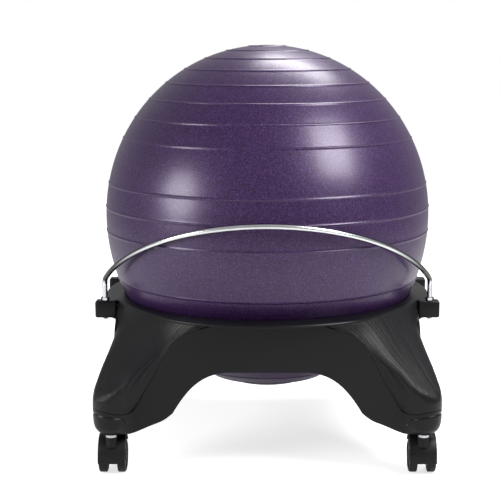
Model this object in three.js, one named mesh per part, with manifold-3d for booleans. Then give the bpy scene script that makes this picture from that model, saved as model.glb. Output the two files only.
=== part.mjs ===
// A balance ball chair: an inflated ball seated in a four-legged castor base, with a bent bar in front.
// Millimetres, +Z up. The origin is on the floor under the ball's axis. The front faces -Y.

import * as THREE from "three";
import { mergeVertices } from "three/addons/utils/BufferGeometryUtils.js";
import Module from "manifold-3d";

const wasm = await Module();
wasm.setup();

// Clearances and overruns
const touchGap = 0.3;
const seamGap = 0.6;
const runningGap = 0.2;
const cutOverrun = 2;

// Ball
const ballRadius = 260;
const ballUpperHalf = 269.3;
const ballLowerHalf = 279.7;
const ballWall = 1.6;
const ballSideCount = 40;
const ballUpperRowCount = 8;
const ballLowerRowCount = 10;

// Valve plug in the ball's lowest point
const plugShankRadius = 4.2;
const plugShankLength = 9;
const plugHeadRadius = 9;
const plugHeadHeight = 1.8;
const plugSideCount = 16;

// Seat ring
const seatHeight = 237;
const seatDrop = 126.2;
const seatClearance = 0.4;
const skirtDepth = 34;
const skirtWall = 3.2;
const flangeWidth = 30;
const flangeFall = 9;
const skirtRowCount = 4;

// Lugs on the seat ring that hold the support bar
const lugSpacing = 183.4;
const lugThickness = 21;
const lugEndLength = 15.4;
const lugBuryDepth = 24;
const lugHeight = 27;
const lugRise = 0.5;
const lugCornerRadius = 4;
const lugCornerPointCount = 3;

// Support bar and its nuts
const barRadius = 4;
const barBallClearance = 7;
const barPeakRise = 143.9;
const barPostHeight = 33;
const barBendRadius = 6;
const barThreadStandOut = 3;
const barSideCount = 8;
const barArcStepCount = 36;
const nutAcrossFlats = 12;
const nutSideCount = 6;
const collarHeight = 4.7;
const nutHeight = 5.5;
const nutPocketDepth = 6;

// Apron panels between the legs
const apronInset = 27;
const apronWall = 3;
const archHalfTop = 55;
const archFootInset = 93;
const apronDepth = 69;
const archCurvePointCount = 9;

// Leg covers
const stemInset = 3.43;
const footRadius = 26.5;
const footSeamHeight = 98.5;
const legCoverWall = 3.2;
const legTopCentreReach = 52.43;
const seamTopInset = 150.43;
const seamFootInset = 33;
const legArcPointCount = 9;

// Leg cores: the foot cup, the castor boss and the web up to the seat ring
const footBottomHeight = 65;
const footWall = 3.2;
const bossWall = 5.5;
const bossHeight = 44;
const webThickness = 5;
const webFootLength = 34;
const webFootRise = 12.8;
const webInnerDepth = 64.6;
const padLength = 14;
const padThickness = 5;
const padInset = 5.5;

// Screws that hold the legs under the seat ring
const screwRadius = 2;
const screwBite = 4;
const screwHeadRadius = 4;
const screwHeadHeight = 2.6;
const screwSideCount = 12;

// Castor sockets and stems
const socketWall = 1.6;
const socketLength = 38;
const stemRadius = 5.5;
const stemGripLength = 33;
const collarRadius = 8.5;
const stemSideCount = 12;

// Castors
const castorTrail = 18;
const wheelRadius = 25;
const wheelWidth = 12;
const wheelEdge = 1.6;
const wheelDishDepth = 1.6;
const wheelDishInset = 5;
const wheelHubRadius = 7;
const wheelCapThickness = 2;
const wheelSideCount = 16;
const webHalfWidth = 7.5;
const wheelSideGap = 0.5;
const hoodTopHeight = 59.5;
const hoodWall = 2.5;
const hoodClearance = 1.5;
const hoodFrontAngle = 190;
const hoodRearAngle = 32;
const hoodArcStepCount = 10;
const hoodBossRadius = 8.5;
const hoodBossDepth = 14;
const hoodStemSeat = 8;
const hoodPinRadius = 4;
const hubPlateRadius = 8.5;
const axleRadius = 3;

// The seat ring's top face, from inside to outside: shares of the flange's width and of its fall
const flangeStationShares = [
  [0.1, 0],
  [0.6, 0.333],
  [0.9, 0.5],
  [1, 0.75],
  [1, 1],
];

// The legs' shape from the seat ring down to the foot seam.
// Each row holds the share of the cover's height, then of its flare, its rounding and its seam's spread.
const legStationShares = [
  [1, 0, 1, 0],
  [0.919, 0, 0.725, 0.29],
  [0.873, 0.01, 0.642, 0.4],
  [0.764, 0.01, 0.393, 0.526],
  [0.656, 0.05, 0.252, 0.588],
  [0.556, 0.33, 0.163, 0.658],
  [0.456, 0.565, 0.099, 0.71],
  [0.332, 0.8, 0.054, 0.79],
  [0.224, 0.957, 0.026, 0.86],
  [0.116, 1, 0.006, 0.92],
  [0, 1, 0, 1],
];

// The foot from its seam down to its sole: shares of the foot's height, of its rounding,
// and of the way from the arch's foot to the castor stem.
const footStationShares = [
  [1, 1, 0],
  [0.851, 1, 0.06],
  [0.612, 0.98, 0.18],
  [0.373, 0.91, 0.38],
  [0.194, 0.77, 0.52],
  [0.075, 0.6, 0.62],
  [0, 0.4, 0.7],
];

// Control points of the arch's curve, as shares of its width and height
const archTopReachShare = 0.48;
const archSideReachShares = [0.75, 0.41];

// Sizes worked out from the ones above
const ballCentreHeight = seatHeight + seatDrop;
const seatRadius = ballRadiusAt(seatHeight) + seatClearance;
const rimRadius = seatRadius + flangeWidth;
const ringUnderside = seatHeight - flangeFall;
const legTop = ringUnderside - touchGap;
const apronPlane = rimRadius - apronInset;
const stemReach = apronPlane - stemInset;
const archHalfBottom = stemReach - archFootInset;
const seamHalfTop = apronPlane - seamTopInset;
const seamHalfBottom = stemReach - seamFootInset;
const legTopRound = apronPlane - legTopCentreReach;
const coverHeight = legTop - footSeamHeight;
const footOuterReach = stemReach + footRadius;
const lugMiddle = lugSpacing / 2;
const barPlanRadius = ballRadius + barBallClearance + barRadius;
const barPostX = Math.sqrt(barPlanRadius ** 2 - lugMiddle ** 2);
const lugTop = seatHeight + lugRise;
const lugBottom = lugTop - lugHeight;
const lugOuterX = barPostX + lugEndLength;
const stemHoleRadius = stemRadius + runningGap;
const socketRadius = stemHoleRadius + socketWall;
const padMiddle = rimRadius - padInset - padLength;
const screwReach = padMiddle / Math.SQRT2;
const screwTip = ringUnderside + screwBite;
const axleHeight = wheelRadius;
const hoodHalfWidth = webHalfWidth + wheelSideGap + wheelWidth;
const axleHalfLength = hoodHalfWidth - wheelCapThickness - touchGap;

const sides = [
  { word: "left", sign: -1 },
  { word: "right", sign: 1 },
];
const ends = [
  { word: "front", sign: -1 },
  { word: "rear", sign: 1 },
];
const corners = ends.flatMap((end) =>
  sides.map((side) => ({ name: `${end.word}_${side.word}`, x: side.sign, y: end.sign })),
);

const finishes = {
  ballSkin: { color: 0x4c2c7d, roughness: 0.38, metalness: 0.15 },
  blackPlastic: { color: 0x1a1a1c, roughness: 0.42, metalness: 0 },
  whitePlastic: { color: 0xdcdad2, roughness: 0.4, metalness: 0 },
  blackNylon: { color: 0x151517, roughness: 0.5, metalness: 0 },
  chromePlate: { color: 0xd6d9dc, roughness: 0.14, metalness: 1 },
  zincSteel: { color: 0xb4b8bc, roughness: 0.32, metalness: 0.9 },
};

const chair = new THREE.Group();

// Solids and meshes

function signedVolume(points, triangles) {
  let total = 0;
  const [a, b, c] = [new THREE.Vector3(), new THREE.Vector3(), new THREE.Vector3()];
  for (let i = 0; i < triangles.length; i += 3) {
    a.fromArray(points, triangles[i] * 3);
    b.fromArray(points, triangles[i + 1] * 3);
    c.fromArray(points, triangles[i + 2] * 3);
    total += a.dot(b.cross(c));
  }
  return total;
}

function solidOf(geometry) {
  const bare = geometry.clone();
  bare.deleteAttribute("normal");
  bare.deleteAttribute("uv");
  const merged = mergeVertices(bare);
  const vertProperties = Float32Array.from(merged.attributes.position.array);
  const kept = [];
  const index = merged.index.array;
  for (let i = 0; i < index.length; i += 3) {
    const [a, b, c] = [index[i], index[i + 1], index[i + 2]];
    if (a !== b && b !== c && c !== a) kept.push(a, b, c);
  }
  if (signedVolume(vertProperties, kept) < 0) kept.reverse();
  const triVerts = Uint32Array.from(kept);
  return new wasm.Manifold(new wasm.Mesh({ numProp: 3, vertProperties, triVerts }));
}

function geometryOf(solid) {
  const { vertProperties, triVerts, numProp } = solid.getMesh();
  const places = new Float32Array((vertProperties.length / numProp) * 3);
  for (let i = 0; i < places.length / 3; i++) {
    places.set(vertProperties.subarray(i * numProp, i * numProp + 3), i * 3);
  }
  const geometry = new THREE.BufferGeometry();
  geometry.setAttribute("position", new THREE.BufferAttribute(places, 3));
  geometry.setIndex(new THREE.BufferAttribute(triVerts, 1));
  geometry.computeVertexNormals();
  return geometry;
}

function addPiece(group, name, solid, finish) {
  const piece = new THREE.Mesh(geometryOf(solid), new THREE.MeshStandardMaterial(finishes[finish]));
  piece.name = name;
  group.add(piece);
  return piece;
}

// Shapes

function lathe(profile, sideCount) {
  const points = profile.map(([radius, height]) => new THREE.Vector2(radius, height));
  const geometry = new THREE.LatheGeometry(points, sideCount);
  geometry.rotateX(Math.PI / 2);
  return solidOf(geometry);
}

function rod(radius, bottom, top, sideCount) {
  return lathe([[0, bottom], [radius, bottom], [radius, top], [0, top]], sideCount);
}

function hexagon(acrossFlats, bottom, top) {
  return rod(acrossFlats / Math.sqrt(3), bottom, top, nutSideCount);
}

function block(low, high) {
  const size = [0, 1, 2].map((k) => high[k] - low[k]);
  const geometry = new THREE.BoxGeometry(...size);
  geometry.translate(...[0, 1, 2].map((k) => (low[k] + high[k]) / 2));
  return solidOf(geometry);
}

// An outline in X and Z, given thickness along Y from near to far
function plateAlongY(outline, near, far) {
  const shape = new THREE.Shape(outline.map(([x, z]) => new THREE.Vector2(x, z)));
  const geometry = new THREE.ExtrudeGeometry(shape, { depth: far - near, bevelEnabled: false });
  geometry.rotateX(Math.PI / 2);
  geometry.translate(0, far, 0);
  return solidOf(geometry);
}

// An outline in Y and Z, given thickness along X from near to far
function plateAlongX(outline, near, far) {
  const shape = new THREE.Shape(outline.map(([y, z]) => new THREE.Vector2(y, z)));
  const geometry = new THREE.ExtrudeGeometry(shape, { depth: far - near, bevelEnabled: false });
  geometry.rotateX(Math.PI / 2);
  geometry.rotateZ(Math.PI / 2);
  geometry.translate(near, 0, 0);
  return solidOf(geometry);
}

// The faces that close a ring of points: a wall's ring runs out along one side and back along the other,
// and any other ring is fanned from its middle, which is point number ringSize
function capFaces(ringSize, isWall) {
  const faces = [];
  if (isWall) {
    for (let i = 0; i + 1 < ringSize / 2; i++) {
      const across = ringSize - 1 - i;
      faces.push([i, i + 1, across - 1], [i, across - 1, across]);
    }
  } else {
    for (let i = 0; i < ringSize; i++) faces.push([ringSize, i, (i + 1) % ringSize]);
  }
  return faces;
}

// A body over level rings of points [x, y], one ring for each height
function loft(rings, heights, isWall) {
  const size = rings[0].length;
  const places = [];
  const add = (level, i) => {
    const ring = rings[level];
    const middle = [0, 1].map((k) => ring.reduce((sum, point) => sum + point[k], 0) / size);
    places.push(...(i === size ? middle : ring[i]), heights[level]);
  };
  for (let level = 0; level + 1 < rings.length; level++) {
    for (let i = 0; i < size; i++) {
      const next = (i + 1) % size;
      for (const [up, k] of [[0, i], [0, next], [1, next], [0, i], [1, next], [1, i]]) add(level + up, k);
    }
  }
  for (const face of capFaces(size, isWall)) {
    for (const k of [...face].reverse()) add(0, k);
    for (const k of face) add(rings.length - 1, k);
  }
  const geometry = new THREE.BufferGeometry();
  geometry.setAttribute("position", new THREE.Float32BufferAttribute(places, 3));
  return solidOf(geometry);
}

// Ball

function ballRadiusAt(height, shrink = 0) {
  const offset = height - (seatHeight + seatDrop);
  const half = (offset > 0 ? ballUpperHalf : ballLowerHalf) - shrink;
  return (ballRadius - shrink) * Math.sqrt(Math.max(0, 1 - (offset / half) ** 2));
}

function ballOutline(shrink, holeRadius) {
  const points = [];
  const lowestAngle = -Math.acos(holeRadius / (ballRadius - shrink));
  for (let row = 0; row < ballLowerRowCount; row++) {
    const angle = lowestAngle * (1 - row / ballLowerRowCount);
    points.push([
      (ballRadius - shrink) * Math.cos(angle),
      ballCentreHeight + (ballLowerHalf - shrink) * Math.sin(angle),
    ]);
  }
  for (let row = 0; row < ballUpperRowCount; row++) {
    const angle = ((Math.PI / 2) * row) / ballUpperRowCount;
    points.push([
      (ballRadius - shrink) * Math.cos(angle),
      ballCentreHeight + (ballUpperHalf - shrink) * Math.sin(angle),
    ]);
  }
  points.push([0, ballCentreHeight + ballUpperHalf - shrink]);
  return points;
}

function makeBall() {
  const holeRadius = plugShankRadius + runningGap;
  const outside = ballOutline(0, holeRadius);
  const inside = ballOutline(ballWall, holeRadius);
  return lathe([...outside, ...inside.reverse(), outside[0]], ballSideCount);
}

function makeValvePlug() {
  const headTop = ballCentreHeight - ballLowerHalf - touchGap;
  const headBottom = headTop - plugHeadHeight;
  return lathe(
    [
      [0, headBottom],
      [plugHeadRadius, headBottom],
      [plugHeadRadius, headTop],
      [plugShankRadius, headTop],
      [plugShankRadius, headTop + plugShankLength],
      [0, headTop + plugShankLength],
    ],
    plugSideCount,
  );
}

// Seat ring

function seatOutline() {
  const skirtBottom = seatHeight - skirtDepth;
  const inside = [];
  const back = [];
  for (let row = 0; row <= skirtRowCount; row++) {
    const share = row / skirtRowCount;
    const height = skirtBottom + skirtDepth * share;
    inside.push([ballRadiusAt(height) + seatClearance, height]);
    const backHeight = skirtBottom + (ringUnderside - skirtBottom) * share;
    back.push([ballRadiusAt(backHeight) + seatClearance + skirtWall, backHeight]);
  }
  const flange = flangeStationShares.map(([widthShare, fallShare]) => [
    seatRadius + flangeWidth * widthShare,
    seatHeight - flangeFall * fallShare,
  ]);
  return [...inside, ...flange, ...back.reverse(), inside[0]];
}

function lugOutline() {
  const inner = rimRadius - lugBuryDepth;
  const points = [[inner, lugTop], [inner, lugBottom]];
  for (const [height, startAngle] of [
    [lugBottom + lugCornerRadius, -Math.PI / 2],
    [lugTop - lugCornerRadius, 0],
  ]) {
    for (let step = 0; step <= lugCornerPointCount; step++) {
      const angle = startAngle + ((Math.PI / 2) * step) / lugCornerPointCount;
      points.push([
        lugOuterX - lugCornerRadius + lugCornerRadius * Math.cos(angle),
        height + lugCornerRadius * Math.sin(angle),
      ]);
    }
  }
  return points;
}

function atCorner(solid, corner, reach, offset) {
  return solid.translate([corner.x * reach, corner.y * offset, 0]);
}

function makeSeatRing() {
  let ring = lathe(seatOutline(), ballSideCount);
  const barHole = rod(barRadius + runningGap, lugBottom - cutOverrun, lugTop + cutOverrun, stemSideCount);
  const pocket = hexagon(nutAcrossFlats + 2 * seamGap, lugBottom - cutOverrun, lugBottom + nutPocketDepth);
  const screwHole = rod(
    screwRadius + runningGap,
    ringUnderside - cutOverrun,
    screwTip + touchGap,
    screwSideCount,
  );
  for (const corner of corners) {
    const outline = lugOutline().map(([x, z]) => [corner.x * x, z]);
    const middle = corner.y * lugMiddle;
    ring = ring.add(plateAlongY(outline, middle - lugThickness / 2, middle + lugThickness / 2));
  }
  for (const corner of corners) {
    ring = ring.subtract(atCorner(barHole.add(pocket), corner, barPostX, lugMiddle));
    ring = ring.subtract(atCorner(screwHole, corner, screwReach, screwReach));
  }
  return ring;
}

// Support bar: two posts in the front lugs, and one tilted arc that passes in front of the ball

function barPath() {
  const postTop = lugTop + barPostHeight;
  const slope = (barPeakRise - barPostHeight) / (barPlanRadius - lugMiddle);
  const startAngle = Math.atan2(lugMiddle, barPostX);
  const bendAngle = barBendRadius / barPlanRadius;
  const sweep = Math.PI - 2 * (startAngle + bendAngle);
  const arc = [];
  for (let step = 0; step <= barArcStepCount; step++) {
    const angle = startAngle + bendAngle + (sweep * step) / barArcStepCount;
    const y = -barPlanRadius * Math.sin(angle);
    arc.push([-barPlanRadius * Math.cos(angle), y, postTop + slope * (-y - lugMiddle)]);
  }
  const foot = lugBottom - barThreadStandOut;
  const postHeights = [foot, lugTop, postTop - 2 * barBendRadius, postTop - barBendRadius];
  const left = postHeights.map((z) => [-barPostX, -lugMiddle, z]);
  const right = left.map(([x, y, z]) => [-x, y, z]).reverse();
  return [...left, ...arc, ...right].map((point) => new THREE.Vector3(...point));
}

function makeSupportBar() {
  const shape = new THREE.Shape();
  for (let side = 0; side < barSideCount; side++) {
    const angle = (2 * Math.PI * side) / barSideCount;
    const point = [barRadius * Math.cos(angle), barRadius * Math.sin(angle)];
    if (side === 0) shape.moveTo(...point);
    else shape.lineTo(...point);
  }
  const points = barPath();
  const extrudePath = new THREE.CatmullRomCurve3(points, false, "centripetal");
  const steps = 2 * barArcStepCount;
  return solidOf(new THREE.ExtrudeGeometry(shape, { steps, extrudePath, bevelEnabled: false }));
}

function makeNut(bottom, height) {
  const hole = rod(barRadius + runningGap, bottom - cutOverrun, bottom + height + cutOverrun, stemSideCount);
  return hexagon(nutAcrossFlats, bottom, bottom + height).subtract(hole);
}

// Legs. A leg's outline at one height is an arc round its diagonal, with a straight flank to each seam.

function coverStations() {
  return legStationShares.map(([heightShare, flareShare, roundShare, seamShare]) => ({
    height: footSeamHeight + coverHeight * heightShare,
    reach: apronPlane + (footOuterReach - apronPlane) * flareShare,
    round: footRadius + (legTopRound - footRadius) * roundShare,
    seam: seamHalfTop + (seamHalfBottom - seamHalfTop) * seamShare,
  }));
}

function footStations() {
  const footHeight = footSeamHeight - touchGap - footBottomHeight;
  return footStationShares.map(([heightShare, roundShare, innerShare]) => {
    const inner = archHalfBottom + (stemReach - archHalfBottom) * innerShare;
    return {
      height: footBottomHeight + footHeight * heightShare,
      reach: stemReach + footRadius * roundShare,
      round: footRadius * roundShare,
      seam: Math.max(inner, seamHalfBottom),
      inner,
    };
  });
}

// Points [x, y] in the first quadrant, from the seam on the Y side round to the seam on the X side
function legArc(station, inset) {
  const centre = (station.reach - station.round) * Math.SQRT2;
  const radius = station.round - inset;
  const [seamX, seamY] = [station.seam, apronPlane - inset];
  const along = (seamX + seamY) / Math.SQRT2;
  const across = (seamY - seamX) / Math.SQRT2;
  const distance = Math.hypot(along - centre, across);
  const tangentAngle = Math.atan2(across, along - centre) - Math.acos(Math.min(1, radius / distance));
  const points = [[seamX, seamY]];
  for (let step = 0; step < legArcPointCount; step++) {
    const angle = tangentAngle * (1 - (2 * step) / (legArcPointCount - 1));
    const [d, w] = [centre + radius * Math.cos(angle), radius * Math.sin(angle)];
    points.push([(d - w) / Math.SQRT2, (d + w) / Math.SQRT2]);
  }
  points.push([seamY, seamX]);
  return points;
}

function toCorner(points, corner) {
  return points.map(([x, y]) => [corner.x * x, corner.y * y]);
}

function makeLegCover(corner) {
  const stations = coverStations();
  const rings = stations.map((station) => {
    const edge = { ...station, seam: station.seam + seamGap / 2 };
    return toCorner([...legArc(edge, 0), ...legArc(edge, legCoverWall).reverse()], corner);
  });
  return loft(rings, stations.map((station) => station.height), true);
}

function apronOutline() {
  const stations = coverStations();
  const half = stations.map(({ seam, height }) => [seam - seamGap / 2, height]);
  half.push([archHalfBottom, footSeamHeight]);
  const archTop = legTop - apronDepth;
  const rise = archTop - footSeamHeight;
  const span = archHalfBottom - archHalfTop;
  const curve = new THREE.CubicBezierCurve(
    new THREE.Vector2(archHalfBottom, footSeamHeight),
    new THREE.Vector2(
      archHalfTop + span * archSideReachShares[0],
      footSeamHeight + rise * (1 - archSideReachShares[1]),
    ),
    new THREE.Vector2(archHalfTop + span * archTopReachShare, archTop),
    new THREE.Vector2(archHalfTop, archTop),
  );
  for (const point of curve.getPoints(archCurvePointCount).slice(1)) half.push([point.x, point.y]);
  return [...half, ...half.map(([x, z]) => [-x, z]).reverse()];
}

function makeApron(plateAlong, sign) {
  const outside = sign * apronPlane;
  const inside = sign * (apronPlane - apronWall);
  return plateAlong(apronOutline(), Math.min(outside, inside), Math.max(outside, inside));
}

function footSolid(corner, inset, lift) {
  const stations = footStations();
  const rings = stations.map((station) => {
    const edge = { ...station, seam: station.seam + inset };
    const start = [station.inner + 2 * inset, apronPlane - inset];
    return toCorner([start, ...legArc(edge, inset), [start[1], start[0]]], corner);
  });
  const heights = stations.map((station, i) => station.height + (i === 0 ? 2 * lift : lift));
  return loft(rings, heights, false);
}

// The web's outline along the diagonal: the first number of each point is the distance from the axis
function makeWeb(corner) {
  const stemDistance = stemReach * Math.SQRT2;
  const padOuter = padMiddle + padLength / 2;
  const padInner = padMiddle - padLength / 2;
  const footInner = stemDistance - webFootLength;
  const bossTop = footBottomHeight + bossHeight;
  const outline = [
    [stemDistance, footBottomHeight + footWall],
    [stemDistance, bossTop],
    [padOuter, legTop - padThickness],
    [padOuter, legTop],
    [padInner, legTop],
    [padInner, legTop - webInnerDepth],
    [footInner, footSeamHeight],
    [footInner, footBottomHeight + webFootRise],
  ];
  const plate = plateAlongY(outline, -webThickness / 2, webThickness / 2);
  const pad = block([padInner, -padLength / 2, legTop - padThickness], [padOuter, padLength / 2, legTop]);
  const degrees = THREE.MathUtils.radToDeg(Math.atan2(corner.y, corner.x));
  return plate.add(pad).rotate([0, 0, degrees]);
}

function makeLegCore(corner) {
  const cup = footSolid(corner, 0, 0).subtract(footSolid(corner, footWall, footWall));
  const bossTop = footBottomHeight + bossHeight;
  const boss = rod(socketRadius + bossWall, footBottomHeight + touchGap, bossTop, stemSideCount);
  const bore = rod(
    socketRadius + touchGap,
    footBottomHeight - cutOverrun,
    bossTop + cutOverrun,
    stemSideCount,
  );
  const screwHole = rod(
    screwRadius + runningGap,
    legTop - 2 * padThickness,
    legTop + cutOverrun,
    screwSideCount,
  );
  const headRoom = rod(
    screwHeadRadius + touchGap,
    legTop - padThickness - screwHeadHeight - 2 * cutOverrun,
    legTop - padThickness,
    screwSideCount,
  );
  return cup
    .add(atCorner(boss, corner, stemReach, stemReach))
    .add(makeWeb(corner))
    .subtract(atCorner(bore, corner, stemReach, stemReach))
    .subtract(atCorner(screwHole.add(headRoom), corner, screwReach, screwReach));
}

function makeRingScrew() {
  const headTop = legTop - padThickness - touchGap;
  return lathe(
    [
      [0, headTop - screwHeadHeight],
      [screwHeadRadius, headTop - screwHeadHeight],
      [screwHeadRadius, headTop],
      [screwRadius, headTop],
      [screwRadius, screwTip],
      [0, screwTip],
    ],
    screwSideCount,
  );
}

// Castors, modelled about the stem's axis with the wheels trailing towards +Y

function makeSocket() {
  const top = footBottomHeight + socketLength;
  return lathe(
    [
      [stemHoleRadius, footBottomHeight + touchGap],
      [socketRadius, footBottomHeight + touchGap],
      [socketRadius, top],
      [stemHoleRadius, top],
      [stemHoleRadius, footBottomHeight + touchGap],
    ],
    stemSideCount,
  );
}

function makeStem() {
  const collarBottom = hoodTopHeight + touchGap;
  const collarTop = footBottomHeight - touchGap;
  const pinBottom = hoodTopHeight - hoodStemSeat + touchGap;
  return lathe(
    [
      [0, pinBottom],
      [hoodPinRadius, pinBottom],
      [hoodPinRadius, collarBottom],
      [collarRadius, collarBottom],
      [collarRadius, collarTop],
      [stemRadius, collarTop],
      [stemRadius, collarTop + stemGripLength],
      [0, collarTop + stemGripLength],
    ],
    stemSideCount,
  );
}

function arcPoints(radius, fromDegrees, toDegrees) {
  const points = [];
  for (let step = 0; step <= hoodArcStepCount; step++) {
    const degrees = fromDegrees + ((toDegrees - fromDegrees) * step) / hoodArcStepCount;
    const angle = THREE.MathUtils.degToRad(degrees);
    points.push([castorTrail + radius * Math.cos(angle), axleHeight + radius * Math.sin(angle)]);
  }
  return points;
}

function makeHood() {
  const inner = wheelRadius + hoodClearance;
  const outer = inner + hoodWall;
  const mudguard = plateAlongX(
    [...arcPoints(outer, hoodRearAngle, hoodFrontAngle), ...arcPoints(inner, hoodFrontAngle, hoodRearAngle)],
    -hoodHalfWidth,
    hoodHalfWidth,
  );
  const webOutline = arcPoints(inner + hoodWall / 2, hoodRearAngle, hoodFrontAngle);
  const web = plateAlongX(webOutline, -webHalfWidth, webHalfWidth);
  const hubPlate = rod(hubPlateRadius, -webHalfWidth, webHalfWidth, stemSideCount)
    .rotate([0, 90, 0])
    .translate([0, castorTrail, axleHeight]);
  const boss = rod(hoodBossRadius, hoodTopHeight - hoodBossDepth, hoodTopHeight, stemSideCount);
  const stemSeat = rod(
    hoodPinRadius + touchGap,
    hoodTopHeight - hoodStemSeat,
    hoodTopHeight + cutOverrun,
    stemSideCount,
  );
  const axleHole = rod(axleRadius + runningGap, -hoodHalfWidth, hoodHalfWidth, stemSideCount)
    .rotate([0, 90, 0])
    .translate([0, castorTrail, axleHeight]);
  return mudguard.add(web).add(hubPlate).add(boss).subtract(stemSeat).subtract(axleHole);
}

function makeAxle() {
  return rod(axleRadius, -axleHalfLength, axleHalfLength, stemSideCount)
    .rotate([0, 90, 0])
    .translate([0, castorTrail, axleHeight]);
}

function makeWheel(side) {
  const inside = webHalfWidth + wheelSideGap;
  const outside = inside + wheelWidth;
  const bore = axleRadius + runningGap;
  const profile = [
    [bore, inside],
    [wheelRadius - wheelEdge, inside],
    [wheelRadius, inside + wheelEdge],
    [wheelRadius, outside - wheelEdge],
    [wheelRadius - wheelEdge, outside],
    [wheelRadius - wheelDishInset, outside],
    [wheelRadius - wheelDishInset - wheelDishDepth, outside - wheelDishDepth],
    [wheelHubRadius + wheelDishDepth, outside - wheelDishDepth],
    [wheelHubRadius, outside],
    [0, outside],
    [0, outside - wheelCapThickness],
    [bore, outside - wheelCapThickness],
    [bore, inside],
  ];
  return lathe(profile, wheelSideCount)
    .rotate([0, side * 90, 0])
    .translate([0, castorTrail, axleHeight]);
}

// Assembly

addPiece(chair, "ball", makeBall(), "ballSkin");
addPiece(chair, "valve_plug", makeValvePlug(), "whitePlastic");
addPiece(chair, "seat_ring", makeSeatRing(), "blackPlastic");
addPiece(chair, "support_bar", makeSupportBar(), "chromePlate");

for (const side of sides) {
  const post = [side.sign * barPostX, -lugMiddle, 0];
  const collarSolid = makeNut(lugTop + touchGap, collarHeight);
  const collar = addPiece(chair, `bar_collar_${side.word}`, collarSolid, "chromePlate");
  collar.position.set(...post);
  const nutBottom = lugBottom + nutPocketDepth - touchGap - nutHeight;
  const nut = addPiece(chair, `bar_nut_${side.word}`, makeNut(nutBottom, nutHeight), "zincSteel");
  nut.position.set(...post);
}

for (const end of ends) {
  addPiece(chair, `apron_${end.word}`, makeApron(plateAlongY, end.sign), "blackPlastic");
}
for (const side of sides) {
  addPiece(chair, `apron_${side.word}`, makeApron(plateAlongX, side.sign), "blackPlastic");
}

for (const corner of corners) {
  addPiece(chair, `leg_cover_${corner.name}`, makeLegCover(corner), "blackPlastic");
  addPiece(chair, `leg_core_${corner.name}`, makeLegCore(corner), "blackPlastic");
  const screw = addPiece(chair, `ring_screw_${corner.name}`, makeRingScrew(), "zincSteel");
  screw.position.set(corner.x * screwReach, corner.y * screwReach, 0);

  const castor = new THREE.Group();
  castor.position.set(corner.x * stemReach, corner.y * stemReach, 0);
  chair.add(castor);
  addPiece(castor, `castor_socket_${corner.name}`, makeSocket(), "zincSteel");
  addPiece(castor, `castor_stem_${corner.name}`, makeStem(), "zincSteel");
  addPiece(castor, `castor_hood_${corner.name}`, makeHood(), "blackNylon");
  addPiece(castor, `castor_axle_${corner.name}`, makeAxle(), "zincSteel");
  for (const side of sides) {
    addPiece(castor, `wheel_${corner.name}_${side.word}`, makeWheel(side.sign), "blackNylon");
  }
}

export default chair;
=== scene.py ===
"""Balance ball chair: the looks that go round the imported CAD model, in metres, in its frame."""

import math

import bmesh
import bpy
from bpy.props import FloatProperty, FloatVectorProperty, IntProperty, PointerProperty
from mathutils import Matrix, Quaternion, Vector


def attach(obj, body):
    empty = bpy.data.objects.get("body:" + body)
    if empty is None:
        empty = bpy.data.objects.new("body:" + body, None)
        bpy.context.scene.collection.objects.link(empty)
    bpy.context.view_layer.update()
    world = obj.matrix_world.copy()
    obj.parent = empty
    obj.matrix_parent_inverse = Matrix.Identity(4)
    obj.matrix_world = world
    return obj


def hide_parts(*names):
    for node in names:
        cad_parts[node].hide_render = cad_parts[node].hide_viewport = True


bl_info = {
    "name": "Balance ball chair",
    "version": (1, 0, 0),
    "blender": (4, 5, 0),
    "location": "3D View > Sidebar > Ball Chair",
    "description": "Builds a balance ball chair round its packed frame",
    "category": "Add Mesh",
}

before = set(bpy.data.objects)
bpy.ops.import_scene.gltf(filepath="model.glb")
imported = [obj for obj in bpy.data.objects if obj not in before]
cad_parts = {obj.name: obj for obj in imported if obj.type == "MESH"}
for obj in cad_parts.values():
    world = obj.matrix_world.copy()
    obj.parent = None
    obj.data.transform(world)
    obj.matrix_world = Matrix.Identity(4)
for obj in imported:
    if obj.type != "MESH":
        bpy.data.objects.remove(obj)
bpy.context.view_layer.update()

CORNERS = {
    "front_left": (-1, -1),
    "front_right": (1, -1),
    "rear_left": (-1, 1),
    "rear_right": (1, 1),
}
SIDES = {"left": -1, "right": 1}
ROOT_TWO = math.sqrt(2)

# The leg from the foot's seam up to the seat ring: height, flare, rounding and seam spread
LEG_SHARES = [
    (0, 1, 0, 1),
    (0.116, 1, 0.006, 0.92),
    (0.224, 0.957, 0.026, 0.86),
    (0.332, 0.8, 0.054, 0.79),
    (0.456, 0.565, 0.099, 0.71),
    (0.556, 0.33, 0.150, 0.658),
    (0.656, 0.07, 0.220, 0.588),
    (0.764, 0.01, 0.375, 0.526),
    (0.873, 0, 0.630, 0.4),
    (0.919, 0, 0.725, 0.29),
    (1, 0, 1, 0),
]

# The foot from its sole up to its seam: height, rounding, and the way from the arch to the stem
FOOT_SHARES = [
    (0, 0.4, 0.7),
    (0.075, 0.6, 0.62),
    (0.194, 0.77, 0.52),
    (0.373, 0.91, 0.38),
    (0.612, 0.98, 0.18),
    (0.851, 1, 0.06),
    (1, 1, 0),
]

# The fine line round the foot: place from the outer corner to the seam, and height in metres
FOOT_LINE = [
    (0, 0.0944),
    (0.60, 0.0927),
    (0.72, 0.0859),
    (0.79, 0.0814),
    (0.94, 0.0817),
    (1, 0.0817),
]

# The seat ring's top face from the seat out to the rim: shares of its width and of the rim's depth
CREST_SHARES = [
    (0.35, 0.03),
    (0.62, 0.07),
    (0.78, 0.115),
    (0.86, 0.16),
    (0.91, 0.22),
    (0.945, 0.30),
    (0.97, 0.41),
    (0.99, 0.56),
    (1.0, 0.72),
    (1.0, 0.86),
    (0.99, 0.96),
]

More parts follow.
